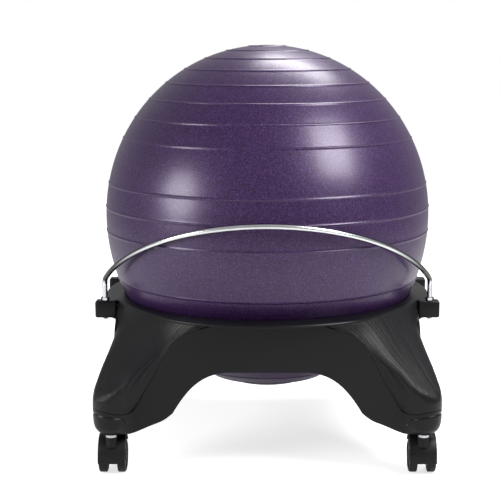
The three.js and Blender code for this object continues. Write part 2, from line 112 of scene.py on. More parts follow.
# The play between pieces that meet, and between the aprons and the lugs
FIT = 0.0003
APRON_PLAY = 0.0004

# How far a lug stands above the ring, and the depth of the nut's pocket below it
LUG_RISE = 0.0005
POCKET_DEPTH = 0.006

# From the ring's rim in to its screws, and from a castor's stem in to the leg's seam at the foot
SCREW_INSET = 0.0195
SEAM_INSET = 0.033

# The leg at the seat ring: from the aprons' plane in to its seam, and in to its rounding's centre
TOP_WIDTH = 0.15043
TOP_HUB = 0.05243

# A leg cover's levels, and the share of its height where its lip starts
COVER_LEVELS = 56
LIP_LEVELS = 10
LIP_START = 0.915

# Each lamp's shape, place, aim, size, roll in degrees and power in watts
LAMPS = {
    "softbox_above": ("RECTANGLE", (0.35, 0.86, 1.85), (0.0, 0.0, 0.45), (0.90, 0.42), 0, 20.0),
    "window_right": ("RECTANGLE", (1.07, -0.76, 1.46), (0.1, -0.21, 0.46), (0.66, 0.95), -20, 34.0),
    "fill_left": ("ELLIPSE", (-1.55, -0.90, 0.74), (0.0, 0.0, 0.28), (0.74, 0.80), 0, 20.0),
}


def length(name, description, default):
    return FloatProperty(name=name, description=description, default=default, unit="LENGTH", precision=4)


def angle_of(name, description, degrees):
    return FloatProperty(
        name=name, description=description, default=math.radians(degrees), subtype="ANGLE"
    )


def colour(name, description, default):
    return FloatVectorProperty(
        name=name, description=description, default=default, size=4, subtype="COLOR", min=0, max=1
    )


class BallLook(bpy.types.PropertyGroup):
    radius: length("Radius", "Half the ball's width", 0.26)
    upper_half: length("Upper half", "From the widest part to the top", 0.2693)
    lower_half: length("Lower half", "From the widest part to the bottom", 0.2797)
    centre_height: length("Centre height", "Height of the widest part", 0.3632)
    rib_height: length("Rib height", "How far the moulded rings stand out", 0.0010)
    rib_width: length("Rib width", "Half the width of a moulded ring", 0.0009)
    rib_spacing: angle_of("Rib spacing", "Angle between rings", 8)
    rib_start: angle_of("Rib start", "Height angle of the middle ring", 3.5)
    columns: IntProperty(name="Columns", description="Faces round the ball", default=160, min=16)
    valve_radius: length("Valve radius", "Radius of the valve hole", 0.0044)
    valve_depth: length("Valve depth", "Depth of the valve hole", 0.0115)
    deep_colour: colour("Deep colour", "The ball's darkest purple", (0.016, 0.0038, 0.032, 1))
    pearl_colour: colour("Pearl colour", "The ball's pearl flakes", (0.106, 0.044, 0.188, 1))


class BaseLook(bpy.types.PropertyGroup):
    seat_height: length("Seat height", "Top of the seat ring", 0.237)
    seat_radius: length("Seat radius", "Inside of the seat ring at its top", 0.23243)
    flange_width: length("Flange width", "Width of the ring's top face", 0.030)
    flange_fall: length("Flange fall", "Drop from the ring's top to the tops of the leg cores", 0.009)
    rim_depth: length("Rim depth", "Thickness of the ring's outer edge", 0.0055)
    rim_draw: length("Rim draw", "How far the ring's edge draws in over a leg cover", 0.0134)
    skirt_depth: length("Skirt depth", "From the ring's top to the bottom of its wall", 0.034)
    wall: length("Wall", "Thickness of the mouldings", 0.0032)
    lug_thickness: length("Lug thickness", "Width of a lug", 0.021)
    lug_height: length("Lug height", "Height of a lug", 0.027)
    lug_middle: length("Lug middle", "Half the distance between two lugs", 0.0917)
    lug_outer: length("Lug reach", "Outer end of a lug", 0.27041)
    apron_plane: length("Apron plane", "Distance of the aprons from the middle", 0.23543)
    arch_half_top: length("Arch top", "Half width of the arch's flat top", 0.055)
    arch_half_bottom: length("Arch bottom", "Half width of the arch at its foot", 0.139)
    arch_top: length("Arch height", "Height of the arch's top", 0.1587)
    stem_reach: length("Stem reach", "Distance of the castor stems from the middle planes", 0.232)
    foot_radius: length("Foot radius", "Radius of the foot round its stem", 0.0265)
    foot_bottom: length("Foot bottom", "Height of the foot's sole", 0.065)
    foot_seam: length("Foot seam", "Height of the seam between foot and leg cover", 0.0985)
    seam_gap: length("Seam gap", "Width of the seams between the mouldings", 0.0009)
    plastic_colour: colour("Plastic colour", "The black moulded plastic", (0.0055, 0.0055, 0.0066, 1))


class BarLook(bpy.types.PropertyGroup):
    radius: length("Radius", "Half the bar's thickness", 0.004)
    plan_radius: length("Plan radius", "Radius of the bar's arc seen from above", 0.271)
    peak_rise: length("Peak rise", "Height of the bar's peak above the lugs", 0.1439)
    post_height: length("Post height", "Height of the bar's upright ends above the lugs", 0.033)
    bend_radius: length("Bend radius", "Radius of the bend above an upright end", 0.006)
    thread_end: length("Thread end", "How far the thread stands out under the lug", 0.003)
    nut_across: length("Nut size", "Width of nuts and collars across their flats", 0.012)
    chrome_colour: colour("Chrome colour", "The plated bar", (0.70, 0.71, 0.73, 1))
    zinc_colour: colour("Zinc colour", "Nuts, screws and stems", (0.50, 0.51, 0.53, 1))


class CastorLook(bpy.types.PropertyGroup):
    trail: length("Trail", "Distance of the axle behind the stem", 0.018)
    wheel_radius: length("Wheel radius", "Half a wheel's height", 0.025)
    wheel_width: length("Wheel width", "Width of one wheel", 0.012)
    web_half: length("Web", "Half the width of the hood's web", 0.0075)
    side_gap: length("Side gap", "Gap between a wheel and the web", 0.0005)
    hood_top: length("Hood top", "Height of the hood's boss", 0.0595)
    axle_radius: length("Axle radius", "Half the axle's thickness", 0.003)
    stem_radius: length("Stem radius", "Half the stem's thickness", 0.0055)
    collar_radius: length("Collar radius", "Half the width of the stem's collar", 0.0085)
    nylon_colour: colour("Nylon colour", "Hoods and wheels", (0.0075, 0.0075, 0.008, 1))


class StageLook(bpy.types.PropertyGroup):
    camera_distance: length("Camera distance", "Distance of the camera from its aim", 2.0473)
    aim_height: length("Aim height", "Height of the camera's aim", 0.2930)
    camera_angle: angle_of("Camera angle", "How far the camera looks down", 10.03)
    floor_colour: colour("Floor colour", "The pale floor", (0.84, 0.84, 0.84, 1))
    mirrored_white: FloatProperty(
        name="Mirrored white", description="How much of the white background shows in reflections",
        default=0.25, min=0, max=1, subtype="FACTOR",
    )


LOOKS = {"ball": BallLook, "base": BaseLook, "bar": BarLook, "castor": CastorLook, "stage": StageLook}


def look(name):
    return getattr(bpy.context.scene, f"chair_{name}")


# Node wiring

FLOAT = "NodeSocketFloat"
WHOLE = "NodeSocketInt"
SHAPE = "NodeSocketGeometry"
MATERIAL = "NodeSocketMaterial"
VECTOR = "NodeSocketVector"
COLOUR = "NodeSocketColor"


class Wiring:
    """Adds nodes to a tree and links them."""

    def __init__(self, tree):
        self.tree = tree

    def add(self, kind, inputs=None, **settings):
        node = self.tree.nodes.new(kind)
        for key, value in settings.items():
            setattr(node, key, value)
        self.feed_all(node, inputs or {})
        return node

    def feed_all(self, node, values):
        for key, value in values.items():
            self.feed(node.inputs[key], value)

    def feed(self, socket, value):
        if isinstance(value, bpy.types.NodeSocket):
            self.tree.links.new(value, socket)
        else:
            socket.default_value = value

    def math(self, operation, *values):
        node = self.add("ShaderNodeMath", operation=operation)
        for socket, value in zip(node.inputs, values):
            self.feed(socket, value)
        return node.outputs[0]


def new_group(name, kind, inputs, outputs):
    tree = bpy.data.node_groups.new(name, kind)
    for label, socket_type, default in inputs:
        socket = tree.interface.new_socket(label, in_out="INPUT", socket_type=socket_type)
        if default is not None:
            socket.default_value = default
    for label, socket_type in outputs:
        tree.interface.new_socket(label, in_out="OUTPUT", socket_type=socket_type)
    wires = Wiring(tree)
    return wires, wires.add("NodeGroupInput").outputs, wires.add("NodeGroupOutput").inputs


def new_shape_tree(name, sizes):
    """A geometry tree whose sizes and material are named inputs."""
    inputs = [("Geometry", SHAPE, None), *sizes, ("Material", MATERIAL, None)]
    return new_group(name, "GeometryNodeTree", inputs, [("Geometry", SHAPE)])


def built_once(name):
    """Makes a function build its node group only the first time it is asked for it."""
    def keep(build):
        return lambda: bpy.data.node_groups.get(name) or build(name)

    return keep


def end_tree(wires, outlet, mesh, material):
    """Ends a geometry tree as a plain mesh with its material."""
    realized = wires.add("GeometryNodeRealizeInstances", {"Geometry": mesh})
    painted = wires.add(
        "GeometryNodeSetMaterial", {"Geometry": realized.outputs[0], "Material": material}
    )
    wires.feed(outlet["Geometry"], painted.outputs[0])
    return wires.tree


def spun(wires, spot, angle):
    """A position turned round the Z axis."""
    node = wires.add("ShaderNodeVectorRotate", {"Vector": spot, "Angle": angle}, rotation_type="Z_AXIS")
    return node.outputs[0]


def rolled_grid(wires, last_row, columns):
    """A grid for a body of revolution, with the row and the angle that each of its points has."""
    grid = wires.add(
        "GeometryNodeMeshGrid",
        {
            "Size X": last_row,
            "Size Y": columns,
            "Vertices X": wires.math("ADD", last_row, 1.0),
            "Vertices Y": wires.math("ADD", columns, 1.0),
        },
    )
    place = wires.add("GeometryNodeInputPosition").outputs[0]
    split = wires.add("ShaderNodeSeparateXYZ", {"Vector": place})
    row = wires.math("ROUND", wires.math("MULTIPLY_ADD", last_row, 0.5, split.outputs["X"]))
    turn = wires.math("DIVIDE", wires.math("MULTIPLY", split.outputs["Y"], math.tau), columns)
    return grid.outputs["Mesh"], place, row, turn


def close_tree(wires, outlet, inlet, mesh, spot, weld):
    """Puts a grid's points in their places, welds it and ends the tree."""
    placed = wires.add("GeometryNodeSetPosition", {"Geometry": mesh, "Position": spot})
    closed = wires.add("GeometryNodeMergeByDistance", {"Geometry": placed.outputs[0], "Distance": weld})
    return end_tree(wires, outlet, closed.outputs[0], inlet["Material"])


@built_once("Ribbed Ball")
def ball_tree(name):
    """A ball of revolution with moulded rings at even angles, two of them left out, and a valve hole."""
    sizes = [
        ("Radius", FLOAT, 0.26),
        ("Upper Half", FLOAT, 0.2693),
        ("Lower Half", FLOAT, 0.2797),
        ("Centre Height", FLOAT, 0.3632),
        ("Rib Height", FLOAT, 0.0010),
        ("Rib Width", FLOAT, 0.0009),
        ("Rib Spacing", FLOAT, math.radians(8)),
        ("Rib Start", FLOAT, math.radians(3.5)),
        ("Bare Band", FLOAT, 2.0),
        ("Last Rib", FLOAT, 10.0),
        ("Columns", WHOLE, 160),
        ("Rows Per Rib", WHOLE, 12),
        ("Valve Radius", FLOAT, 0.0044),
        ("Valve Depth", FLOAT, 0.0115),
        ("Crowding", FLOAT, 0.12),
    ]
    wires, inlet, outlet = new_shape_tree(name, sizes)
    math_of = wires.math
    extra_rows = 3.0
    band_count = math_of("MULTIPLY_ADD", inlet["Last Rib"], 2.0, 3.0)
    steps = math_of("MULTIPLY", band_count, inlet["Rows Per Rib"])
    last_row = math_of("ADD", steps, extra_rows)
    mesh, _, row, turn = rolled_grid(wires, last_row, inlet["Columns"])

    # The band that a row lies in, and its place across the band from -1 to 1
    along = math_of(
        "SUBTRACT",
        math_of("DIVIDE", math_of("SUBTRACT", row, extra_rows), inlet["Rows Per Rib"]),
        math_of("MULTIPLY", band_count, 0.5),
    )
    band = math_of("ROUND", along)
    across = math_of("MULTIPLY", math_of("SUBTRACT", along, band), 2.0)

    # The rows crowd together at the middle of each band, where the ring is
    cube = math_of("POWER", math_of("ABSOLUTE", across), 3.0)
    signed_cube = math_of("MULTIPLY", cube, math_of("SIGN", across))
    spread = math_of(
        "ADD",
        math_of("MULTIPLY", across, inlet["Crowding"]),
        math_of("MULTIPLY", signed_cube, math_of("SUBTRACT", 1.0, inlet["Crowding"])),
    )
    half_spread = math_of("MULTIPLY", spread, 0.5)
    swing = math_of("MULTIPLY", half_spread, inlet["Rib Spacing"])
    latitude = math_of(
        "ADD",
        inlet["Rib Start"],
        math_of("MULTIPLY", math_of("ADD", band, half_spread), inlet["Rib Spacing"]),
    )

    # The rows stay between the top and the edge of the valve hole
    hole_angle = math_of("ARCCOSINE", math_of("DIVIDE", inlet["Valve Radius"], inlet["Radius"]))
    lowest = math_of("MULTIPLY", hole_angle, -1.0)
    latitude = math_of("MINIMUM", latitude, math.pi / 2)
    is_early = math_of("LESS_THAN", row, extra_rows)
    lowered = math_of("SUBTRACT", latitude, math_of("MULTIPLY", is_early, math.tau))
    latitude = math_of("MAXIMUM", lowered, lowest)

    # The ring's rise, which is nothing in the bare bands and past the last ring
    offset = math_of("DIVIDE", math_of("MULTIPLY", swing, inlet["Radius"]), inlet["Rib Width"])
    square = math_of("POWER", math_of("ABSOLUTE", offset), 2.0)
    fall = math_of("EXPONENT", math_of("MULTIPLY", square, -1.0))
    band_size = math_of("ABSOLUTE", band)
    is_bare = math_of("COMPARE", band_size, inlet["Bare Band"], 0.1)
    is_past = math_of("GREATER_THAN", band_size, math_of("ADD", inlet["Last Rib"], 0.5))
    kept = math_of("SUBTRACT", math_of("SUBTRACT", 1.0, is_bare), is_past)
    rise = math_of("MULTIPLY", math_of("MULTIPLY", fall, inlet["Rib Height"]), kept)

    is_upper = math_of("GREATER_THAN", latitude, 0.0)
    half_change = math_of("SUBTRACT", inlet["Upper Half"], inlet["Lower Half"])
    half = math_of("ADD", inlet["Lower Half"], math_of("MULTIPLY", half_change, is_upper))
    distance = math_of("MULTIPLY", math_of("ADD", inlet["Radius"], rise), math_of("COSINE", latitude))
    height = math_of(
        "ADD",
        inlet["Centre Height"],
        math_of("MULTIPLY", math_of("ADD", half, rise), math_of("SINE", latitude)),
    )

    # The first two rows close the valve hole
    is_floor = math_of("LESS_THAN", row, 1.5)
    is_centre = math_of("LESS_THAN", row, 0.5)
    distance = math_of("MULTIPLY", distance, math_of("SUBTRACT", 1.0, is_centre))
    height = math_of("ADD", height, math_of("MULTIPLY", is_floor, inlet["Valve Depth"]))
    spot = wires.add("ShaderNodeCombineXYZ", {"X": distance, "Z": height})
    return close_tree(wires, outlet, inlet, mesh, spun(wires, spot.outputs[0], turn), 1e-5)


@built_once("Turned Profile")
def turning_tree(name):
    """Turns a profile drawn in X and Z round the Z axis."""
    wires, inlet, outlet = new_shape_tree(name, [("Segments", WHOLE, 48), ("Weld", FLOAT, 1e-6)])
    count = wires.add("GeometryNodeAttributeDomainSize", {"Geometry": inlet["Geometry"]}, component="MESH")
    last_point = wires.math("SUBTRACT", count.outputs["Point Count"], 1.0)
    mesh, place, row, turn = rolled_grid(wires, last_point, inlet["Segments"])
    sample = wires.add(
        "GeometryNodeSampleIndex",
        {"Geometry": inlet["Geometry"], "Value": place, "Index": row},
        data_type="FLOAT_VECTOR", domain="POINT", clamp=True,
    )
    return close_tree(wires, outlet, inlet, mesh, spun(wires, sample.outputs[0], turn), inlet["Weld"])


@built_once("Bent Rod")
def rod_tree(name):
    """Sweeps a round rod along a line."""
    wires, inlet, outlet = new_shape_tree(name, [("Radius", FLOAT, 0.004), ("Sides", WHOLE, 24)])
    path = wires.add("GeometryNodeMeshToCurve", {"Mesh": inlet["Geometry"]})
    ring = wires.add(
        "GeometryNodeCurvePrimitiveCircle", {"Resolution": inlet["Sides"], "Radius": inlet["Radius"]}
    )
    swept = wires.add(
        "GeometryNodeCurveToMesh",
        {"Curve": path.outputs[0], "Profile Curve": ring.outputs[0], "Fill Caps": True},
    )
    return end_tree(wires, outlet, swept.outputs[0], inlet["Material"])


# Meshes

def linked(name, data):
    """Puts a mesh, a camera or a lamp in the scene."""
    thing = bpy.data.objects.new(name, data)
    bpy.context.scene.collection.objects.link(thing)
    return thing


def piece_of(name, places, faces, edges=()):
    mesh = bpy.data.meshes.new(name)
    mesh.from_pydata([tuple(place) for place in places], edges, faces)
    return linked(name, mesh)


def line_of(name, places):
    return piece_of(name, places, [], [(i, i + 1) for i in range(len(places) - 1)])


def bake(piece):
    """Makes a piece's modifiers part of its mesh."""
    depsgraph = bpy.context.evaluated_depsgraph_get()
    mesh = bpy.data.meshes.new_from_object(
        piece.evaluated_get(depsgraph), preserve_all_data_layers=True, depsgraph=depsgraph
    )
    piece.modifiers.clear()
    old = piece.data
    piece.data = mesh
    mesh.name = piece.name
    bpy.data.meshes.remove(old)
    if not mesh.polygons:
        raise RuntimeError(f"{piece.name} came out empty")
    return piece


def grown(piece, tree, values):
    """Runs a geometry tree on a piece and keeps the result."""
    modifier = piece.modifiers.new(tree.name, "NODES")
    modifier.node_group = tree
    sockets = {item.name: item.identifier for item in tree.interface.items_tree if item.in_out == "INPUT"}
    for label, value in values.items():
        modifier[sockets[label]] = value
    return bake(piece)


def outward(piece):
    """Welds a mesh and turns its faces outwards."""
    work = bmesh.new()
    work.from_mesh(piece.data)
    bmesh.ops.remove_doubles(work, verts=work.verts, dist=1e-7)
    bmesh.ops.dissolve_degenerate(work, edges=work.edges, dist=1e-7)
    bmesh.ops.recalc_face_normals(work, faces=work.faces)
    work.to_mesh(piece.data)
    work.free()
    return piece


def smoothed(piece, degrees):
    mesh = piece.data
    mesh.polygons.foreach_set("use_smooth", [True] * len(mesh.polygons))
    mesh.set_sharp_from_angle(angle=math.radians(degrees))
    mesh.update()
    return piece


def painted(piece, material):
    piece.data.materials.clear()
    piece.data.materials.append(material)
    piece.data.polygons.foreach_set("material_index", [0] * len(piece.data.polygons))
    return piece


def moved(piece, matrix):
    piece.data.transform(matrix)
    if matrix.determinant() < 0:
        piece.data.flip_normals()
    return piece


def copied(piece, name, matrix):
    twin = linked(name, piece.data.copy())
    twin.data.name = name
    return moved(twin, matrix)


def shifted(x, y):
    return Matrix.Translation((x, y, 0))


def quarter_turn(axis):
    return Matrix.Rotation(math.radians(90), 4, axis)


def cut(piece, tool, operation="DIFFERENCE"):
    modifier = piece.modifiers.new("cut", "BOOLEAN")
    modifier.solver = "EXACT"
    modifier.operation = operation
    modifier.object = tool
    bake(piece)
    bpy.data.objects.remove(tool)
    return piece


def rounded(piece, width, segments=2, degrees=40):
    modifier = piece.modifiers.new("round", "BEVEL")
    modifier.width = width
    modifier.segments = segments
    modifier.limit_method = "ANGLE"
    modifier.angle_limit = math.radians(degrees)
    modifier.use_clamp_overlap = True
    return bake(piece)


def turned(name, profile, segments, material=None, degrees=35):
    """A body of revolution about Z from points of distance and height."""
    piece = line_of(name, [(distance, 0, height) for distance, height in profile])
    grown(piece, turning_tree(), {"Segments": segments})
    outward(piece)
    if material:
        painted(piece, material)
    return smoothed(piece, degrees)


def round_bar(name, radius, low, high, segments):
    """A plain upright cylinder, or a prism where the segments are few."""
    return turned(name, [(0, low), (radius, low), (radius, high), (0, high)], segments)


def plate(name, outline, near, far):
    """An outline in X and Z with thickness along Y from near to far."""
    count = len(outline)
    places = [(x, near, z) for x, z in outline] + [(x, far, z) for x, z in outline]
    faces = [tuple(range(count)), tuple(range(2 * count - 1, count - 1, -1))]
    for i in range(count):
        following = (i + 1) % count
        faces.append((i, count + i, count + following, following))
    return outward(piece_of(name, places, faces))


def box_of(name, low, high):
    outline = [(low[0], low[2]), (high[0], low[2]), (high[0], high[2]), (low[0], high[2])]
    return plate(name, outline, low[1], high[1])


def lofted(name, rings):
    """A closed body over rings of places that all have the same number of points."""
    size = len(rings[0])
    places = [place for ring in rings for place in ring]
    faces = []
    for level in range(len(rings) - 1):
        for i in range(size):
            low, high = level * size, (level + 1) * size
            following = (i + 1) % size
            faces.append((low + i, low + following, high + following, high + i))
    faces.append(tuple(range(size)))
    faces.append(tuple(range(len(places) - size, len(places))))
    return outward(piece_of(name, places, faces))


# Shader node groups

def noise(wires, place, scale, detail, roughness):
    node = wires.add(
        "ShaderNodeTexNoise",
        {"Vector": place, "Scale": scale, "Detail": detail, "Roughness": roughness},
    )
    return node.outputs[0]


def blended(wires, share, first, second):
    """A colour between two; a Mix node has its colours on sockets 6, 7 and 2."""
    node = wires.add("ShaderNodeMix", {0: share, 6: first, 7: second}, data_type="RGBA")
    return node.outputs[2]


@built_once("Moulded Grain")
def grain_group(name):
    """Fine moulded grain: a roughness and a height that change over the surface."""
    wires, inlet, outlet = new_group(
        name,
        "ShaderNodeTree",
        [
            ("Vector", VECTOR, None),
            ("Grain Scale", FLOAT, 1400.0),
            ("Patch Scale", FLOAT, 18.0),
            ("Low Roughness", FLOAT, 0.3),
            ("High Roughness", FLOAT, 0.45),
        ],
        [("Roughness", FLOAT), ("Height", FLOAT), ("Patch", FLOAT)],
    )
    fine = noise(wires, inlet["Vector"], inlet["Grain Scale"], detail=2.0, roughness=0.55)
    patch = noise(wires, inlet["Vector"], inlet["Patch Scale"], detail=4.0, roughness=0.6)
    blend = wires.math("MULTIPLY_ADD", fine, 0.4, wires.math("MULTIPLY", patch, 0.6))
    spread = wires.add(
        "ShaderNodeMapRange",
        {
            "Value": blend,
            "From Min": 0.35,
            "From Max": 0.65,
            "To Min": inlet["Low Roughness"],
            "To Max": inlet["High Roughness"],
        },
    )
    wires.feed(outlet["Roughness"], spread.outputs[0])
    wires.feed(outlet["Height"], fine)
    wires.feed(outlet["Patch"], patch)
    return wires.tree


@built_once("Pearl Flakes")
def flake_group(name):
    """Pearl flakes: a colour that goes from a deep tone to a pale one in small specks."""
    wires, inlet, outlet = new_group(
        name,
        "ShaderNodeTree",
        [
            ("Vector", VECTOR, None),
            ("Deep", COLOUR, (0.05, 0.02, 0.1, 1)),
            ("Pearl", COLOUR, (0.2, 0.13, 0.3, 1)),
            ("Speck Scale", FLOAT, 900.0),
            ("Amount", FLOAT, 0.5),
        ],
        [("Color", COLOUR), ("Speck", FLOAT)],
    )
    fine = noise(wires, inlet["Vector"], inlet["Speck Scale"], detail=1.0, roughness=0.5)
    speck = wires.add("ShaderNodeMapRange", {"Value": fine, "From Min": 0.42, "From Max": 0.72})
    cells = wires.add(
        "ShaderNodeTexVoronoi", {"Vector": inlet["Vector"], "Scale": inlet["Speck Scale"]}
    )
    flake = wires.add("ShaderNodeSeparateColor", {"Color": cells.outputs["Color"]})
    sparse = wires.math("POWER", flake.outputs[0], 3.0)
    both = wires.math("MULTIPLY", wires.math("ADD", speck.outputs[0], sparse), 0.5)
    amount = wires.math("MULTIPLY", both, inlet["Amount"])
    wires.feed(outlet["Color"], blended(wires, amount, inlet["Deep"], inlet["Pearl"]))
    wires.feed(outlet["Speck"], both)
    return wires.tree


def cleared(owner):
    """Empties the node tree of a material or a world."""
    owner.use_nodes = True
    owner.node_tree.nodes.clear()
    return Wiring(owner.node_tree)


def start_material(name):
    """A material with its shader, and the place on the piece that its patterns read."""
    material = bpy.data.materials.new(f"{name}_finish")
    wires = cleared(material)
    shader = wires.add("ShaderNodeBsdfPrincipled")
    wires.add("ShaderNodeOutputMaterial", {"Surface": shader.outputs[0]})
    place = wires.add("ShaderNodeTexCoord").outputs["Object"]
    return material, wires, shader, place


def bump(wires, shader, height, strength, distance):
    node = wires.add(
        "ShaderNodeBump", {"Height": height, "Strength": strength, "Distance": distance}
    )
    wires.feed(shader.inputs["Normal"], node.outputs[0])


def grain(wires, shader, place, scales, roughness):
    """Puts the grain in a material and gives its height and its patches."""
    values = {
        "Vector": place,
        "Grain Scale": scales[0],
        "Patch Scale": scales[1],
        "Low Roughness": roughness[0],
        "High Roughness": roughness[1],
    }
    out = wires.add("ShaderNodeGroup", values, node_tree=grain_group()).outputs
    wires.feed(shader.inputs["Roughness"], out["Roughness"])
    return out["Height"], out["Patch"]


def tinted(wires, factor, dark, light):
    """A tone that goes from dark to light round the middle of a factor."""
    node = wires.add("ShaderNodeValToRGB", {"Fac": factor})
    for element, position, tone in zip(node.color_ramp.elements, (0.3, 0.7), (dark, light)):
        element.position = position
        element.color = tone
    return node.outputs[0]


def scaled(colour_value, factor):
    return (*[min(1, part * factor) for part in colour_value[:3]], 1)


def ball_skin():
    material, wires, shader, place = start_material("ball_skin")
    values = {
        "Vector": place,
        "Deep": look("ball").deep_colour,
        "Pearl": look("ball").pearl_colour,
        "Speck Scale": 640.0,
        "Amount": 0.8,
    }
    flakes = wires.add("ShaderNodeGroup", values, node_tree=flake_group()).outputs
    fine, _ = grain(wires, shader, place, scales=(1100.0, 9.0), roughness=(0.34, 0.44))
    surface = {
        "Base Color": flakes["Color"],
        "Metallic": 0.25,
        "Specular IOR Level": 0.3,
        "Coat Weight": 0.3,
        "Coat IOR": 1.7,
        "Coat Roughness": 0.26,
    }
    wires.feed_all(shader, surface)
    height = wires.math("MULTIPLY_ADD", flakes["Speck"], 0.8, fine)
    bump(wires, shader, height, strength=0.3, distance=0.0002)
    return material


def start_plastic(name, scales, roughness, tones, specular):
    """A moulded plastic that only needs its bump."""
    material, wires, shader, place = start_material(name)
    fine, patch = grain(wires, shader, place, scales, roughness)
    tint = tinted(wires, patch, *tones)
    wires.feed_all(shader, {"Base Color": tint, "Specular IOR Level": specular})
    return material, wires, shader, fine


def black_plastic():
    base = look("base").plastic_colour
    material, wires, shader, fine = start_plastic(
        "black_plastic", scales=(1700.0, 14.0), roughness=(0.26, 0.38),
        tones=(scaled(base, 0.85), scaled(base, 1.2)), specular=0.2,
    )
    bump(wires, shader, fine, strength=0.18, distance=0.00015)
    return material


def brushed_plastic():
    """Black plastic with fine lines that run down the leg, from the leg cover's own map."""
    base = look("base").plastic_colour
    material, wires, shader, fine = start_plastic(
        "brushed_plastic", scales=(1700.0, 14.0), roughness=(0.30, 0.40),
        tones=(scaled(base, 0.9), scaled(base, 1.3)), specular=0.22,
    )
    flow = wires.add("ShaderNodeUVMap", uv_map="leg_flow")
    stretch = wires.add("ShaderNodeMapping", {"Vector": flow.outputs[0], "Scale": (120, 0.35, 1)})
    lines = noise(wires, stretch.outputs[0], 1.0, detail=1.5, roughness=0.5)
    height = wires.math("MULTIPLY_ADD", fine, 0.1, lines)
    bump(wires, shader, height, strength=1.0, distance=0.00065)
    return material


def castor_nylon():
    base = look("castor").nylon_colour
    material, wires, shader, fine = start_plastic(
        "castor_nylon", scales=(1900.0, 30.0), roughness=(0.38, 0.52),
        tones=(scaled(base, 0.8), scaled(base, 1.3)), specular=0.18,
    )
    bump(wires, shader, fine, strength=0.2, distance=0.00012)
    return material


def plug_plastic():
    material, wires, shader, fine = start_plastic(
        "plug_plastic", scales=(1500.0, 60.0), roughness=(0.32, 0.44),
        tones=((0.68, 0.67, 0.62, 1), (0.78, 0.77, 0.73, 1)), specular=0.5,
    )
    bump(wires, shader, fine, strength=0.15, distance=0.0001)
    return material


def plated(name, base, roughness, streak_scale, painted_rim_start=None):
    """Plated steel; a start for the painted rim darkens its colour where it turns away from the camera, as
    painted dark reflections on the borders of a bright rod in a white room.
    """
    material, wires, shader, place = start_material(name)
    stretch = wires.add("ShaderNodeMapping", {"Vector": place, "Scale": (1, 1, streak_scale)})
    fine, patch = grain(wires, shader, stretch.outputs[0], (1300.0, 40.0), roughness)
    tint = tinted(wires, patch, scaled(base, 0.92), scaled(base, 1.04))
    # Painted reflection: the base colour goes nearly black at the borders that turn away from the camera,
    # standing in for the dark things a bright rod reflects there.
    if painted_rim_start is not None:
        weight = wires.add("ShaderNodeLayerWeight", {"Blend": 0.5})
        edge = wires.add(
            "ShaderNodeMapRange",
            {"Value": weight.outputs["Facing"], "From Min": painted_rim_start, "From Max": painted_rim_start + 0.2},
        )
        tint = blended(wires, edge.outputs[0], tint, scaled(base, 0.08))
    wires.feed_all(shader, {"Base Color": tint, "Metallic": 1.0})
    bump(wires, shader, fine, strength=0.06, distance=0.00008)
    return material


def chrome_plate():
    base = look("bar").chrome_colour
    # The chrome bar gets painted dark reflections along its borders.
    return plated("chrome_plate", base, roughness=(0.15, 0.24), streak_scale=0.2, painted_rim_start=0.34)


def zinc_steel():
    return plated("zinc_steel", look("bar").zinc_colour, roughness=(0.24, 0.38), streak_scale=0.4)


FINISHES = {
    "ball_skin": ball_skin,
    "black_plastic": black_plastic,
    "brushed_plastic": brushed_plastic,
    "castor_nylon": castor_nylon,
    "plug_plastic": plug_plastic,
    "chrome_plate": chrome_plate,
    "zinc_steel": zinc_steel,
}


def finish(name):
    return bpy.data.materials.get(f"{name}_finish") or FINISHES[name]()


def finished(piece, finish_name, degrees):
    """Closes, paints and smooths a made piece."""
    return smoothed(painted(outward(piece), finish(finish_name)), degrees)


def settle(piece, body, slot, *nodes):
    """Rides a finished piece on its body and hides the CAD nodes that it stands for."""
    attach(piece, body)
    if nodes:
        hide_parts(*nodes)
    return piece


def set_at_corners(pattern, made_name, node_name):
    """Mirrors a piece of the leg to the four corners."""
    for corner, (sign_x, sign_y) in CORNERS.items():
        piece = copied(pattern, f"{made_name}_{corner}", Matrix.Diagonal((sign_x, sign_y, 1, 1)))
        settle(piece, "base", "black_plastic", f"{node_name}_{corner}")
    bpy.data.objects.remove(pattern)


# The leg's shape

def core_top():
    """Height of the tops of the leg cores, just under the seat ring."""
    base = look("base")
    return base.seat_height - base.flange_fall - FIT


def lug_heights():
    """Heights of the bottom and the top of a lug."""
    base = look("base")
    top = base.seat_height + LUG_RISE
    return top - base.lug_height, top


def post_reach():
    """Distance of the bar's upright ends from the middle, along X."""
    return math.sqrt(look("bar").plan_radius ** 2 - look("base").lug_middle ** 2)


def slopes_of(xs, ys):
    """Slopes at a table's points, flat where the table turns."""
    rises = [(ys[i + 1] - ys[i]) / (xs[i + 1] - xs[i]) for i in range(len(xs) - 1)]
    slopes = [rises[0]]
    for before, after in zip(rises, rises[1:]):
        slopes.append(0 if before * after <= 0 else 2 * before * after / (before + after))
    return slopes + [rises[-1]]


def smooth_value(xs, ys, x):
    """A smooth curve through a table that never overshoots it."""
    slopes = slopes_of(xs, ys)
    i = max(0, min(len(xs) - 2, sum(1 for known in xs if known <= x) - 1))
    step = xs[i + 1] - xs[i]
    t = (x - xs[i]) / step
    return (
        ys[i] * (1 + 2 * t) * (1 - t) ** 2
        + slopes[i] * step * t * (1 - t) ** 2
        + ys[i + 1] * t * t * (3 - 2 * t)
        + slopes[i + 1] * step * t * t * (t - 1)
    )


def eased(low, high, value):
    share = min(1, max(0, (value - low) / (high - low)))
    return share * share * (3 - 2 * share)


def drawn_in(x, y):
    """How much the ring's edge draws in at a place, from 0 at the aprons to 1 over the leg covers."""
    # In between 25 and 55 degrees from the Y axis, and out again between 66 and 74
    swing = math.degrees(math.atan2(abs(x), abs(y)))
    return eased(25, 55, swing) - eased(66, 74, swing)


def share_at(table, column, height_share):
    """The value of one column of a table at a height."""
    return smooth_value([row[0] for row in table], [row[column] for row in table], height_share)


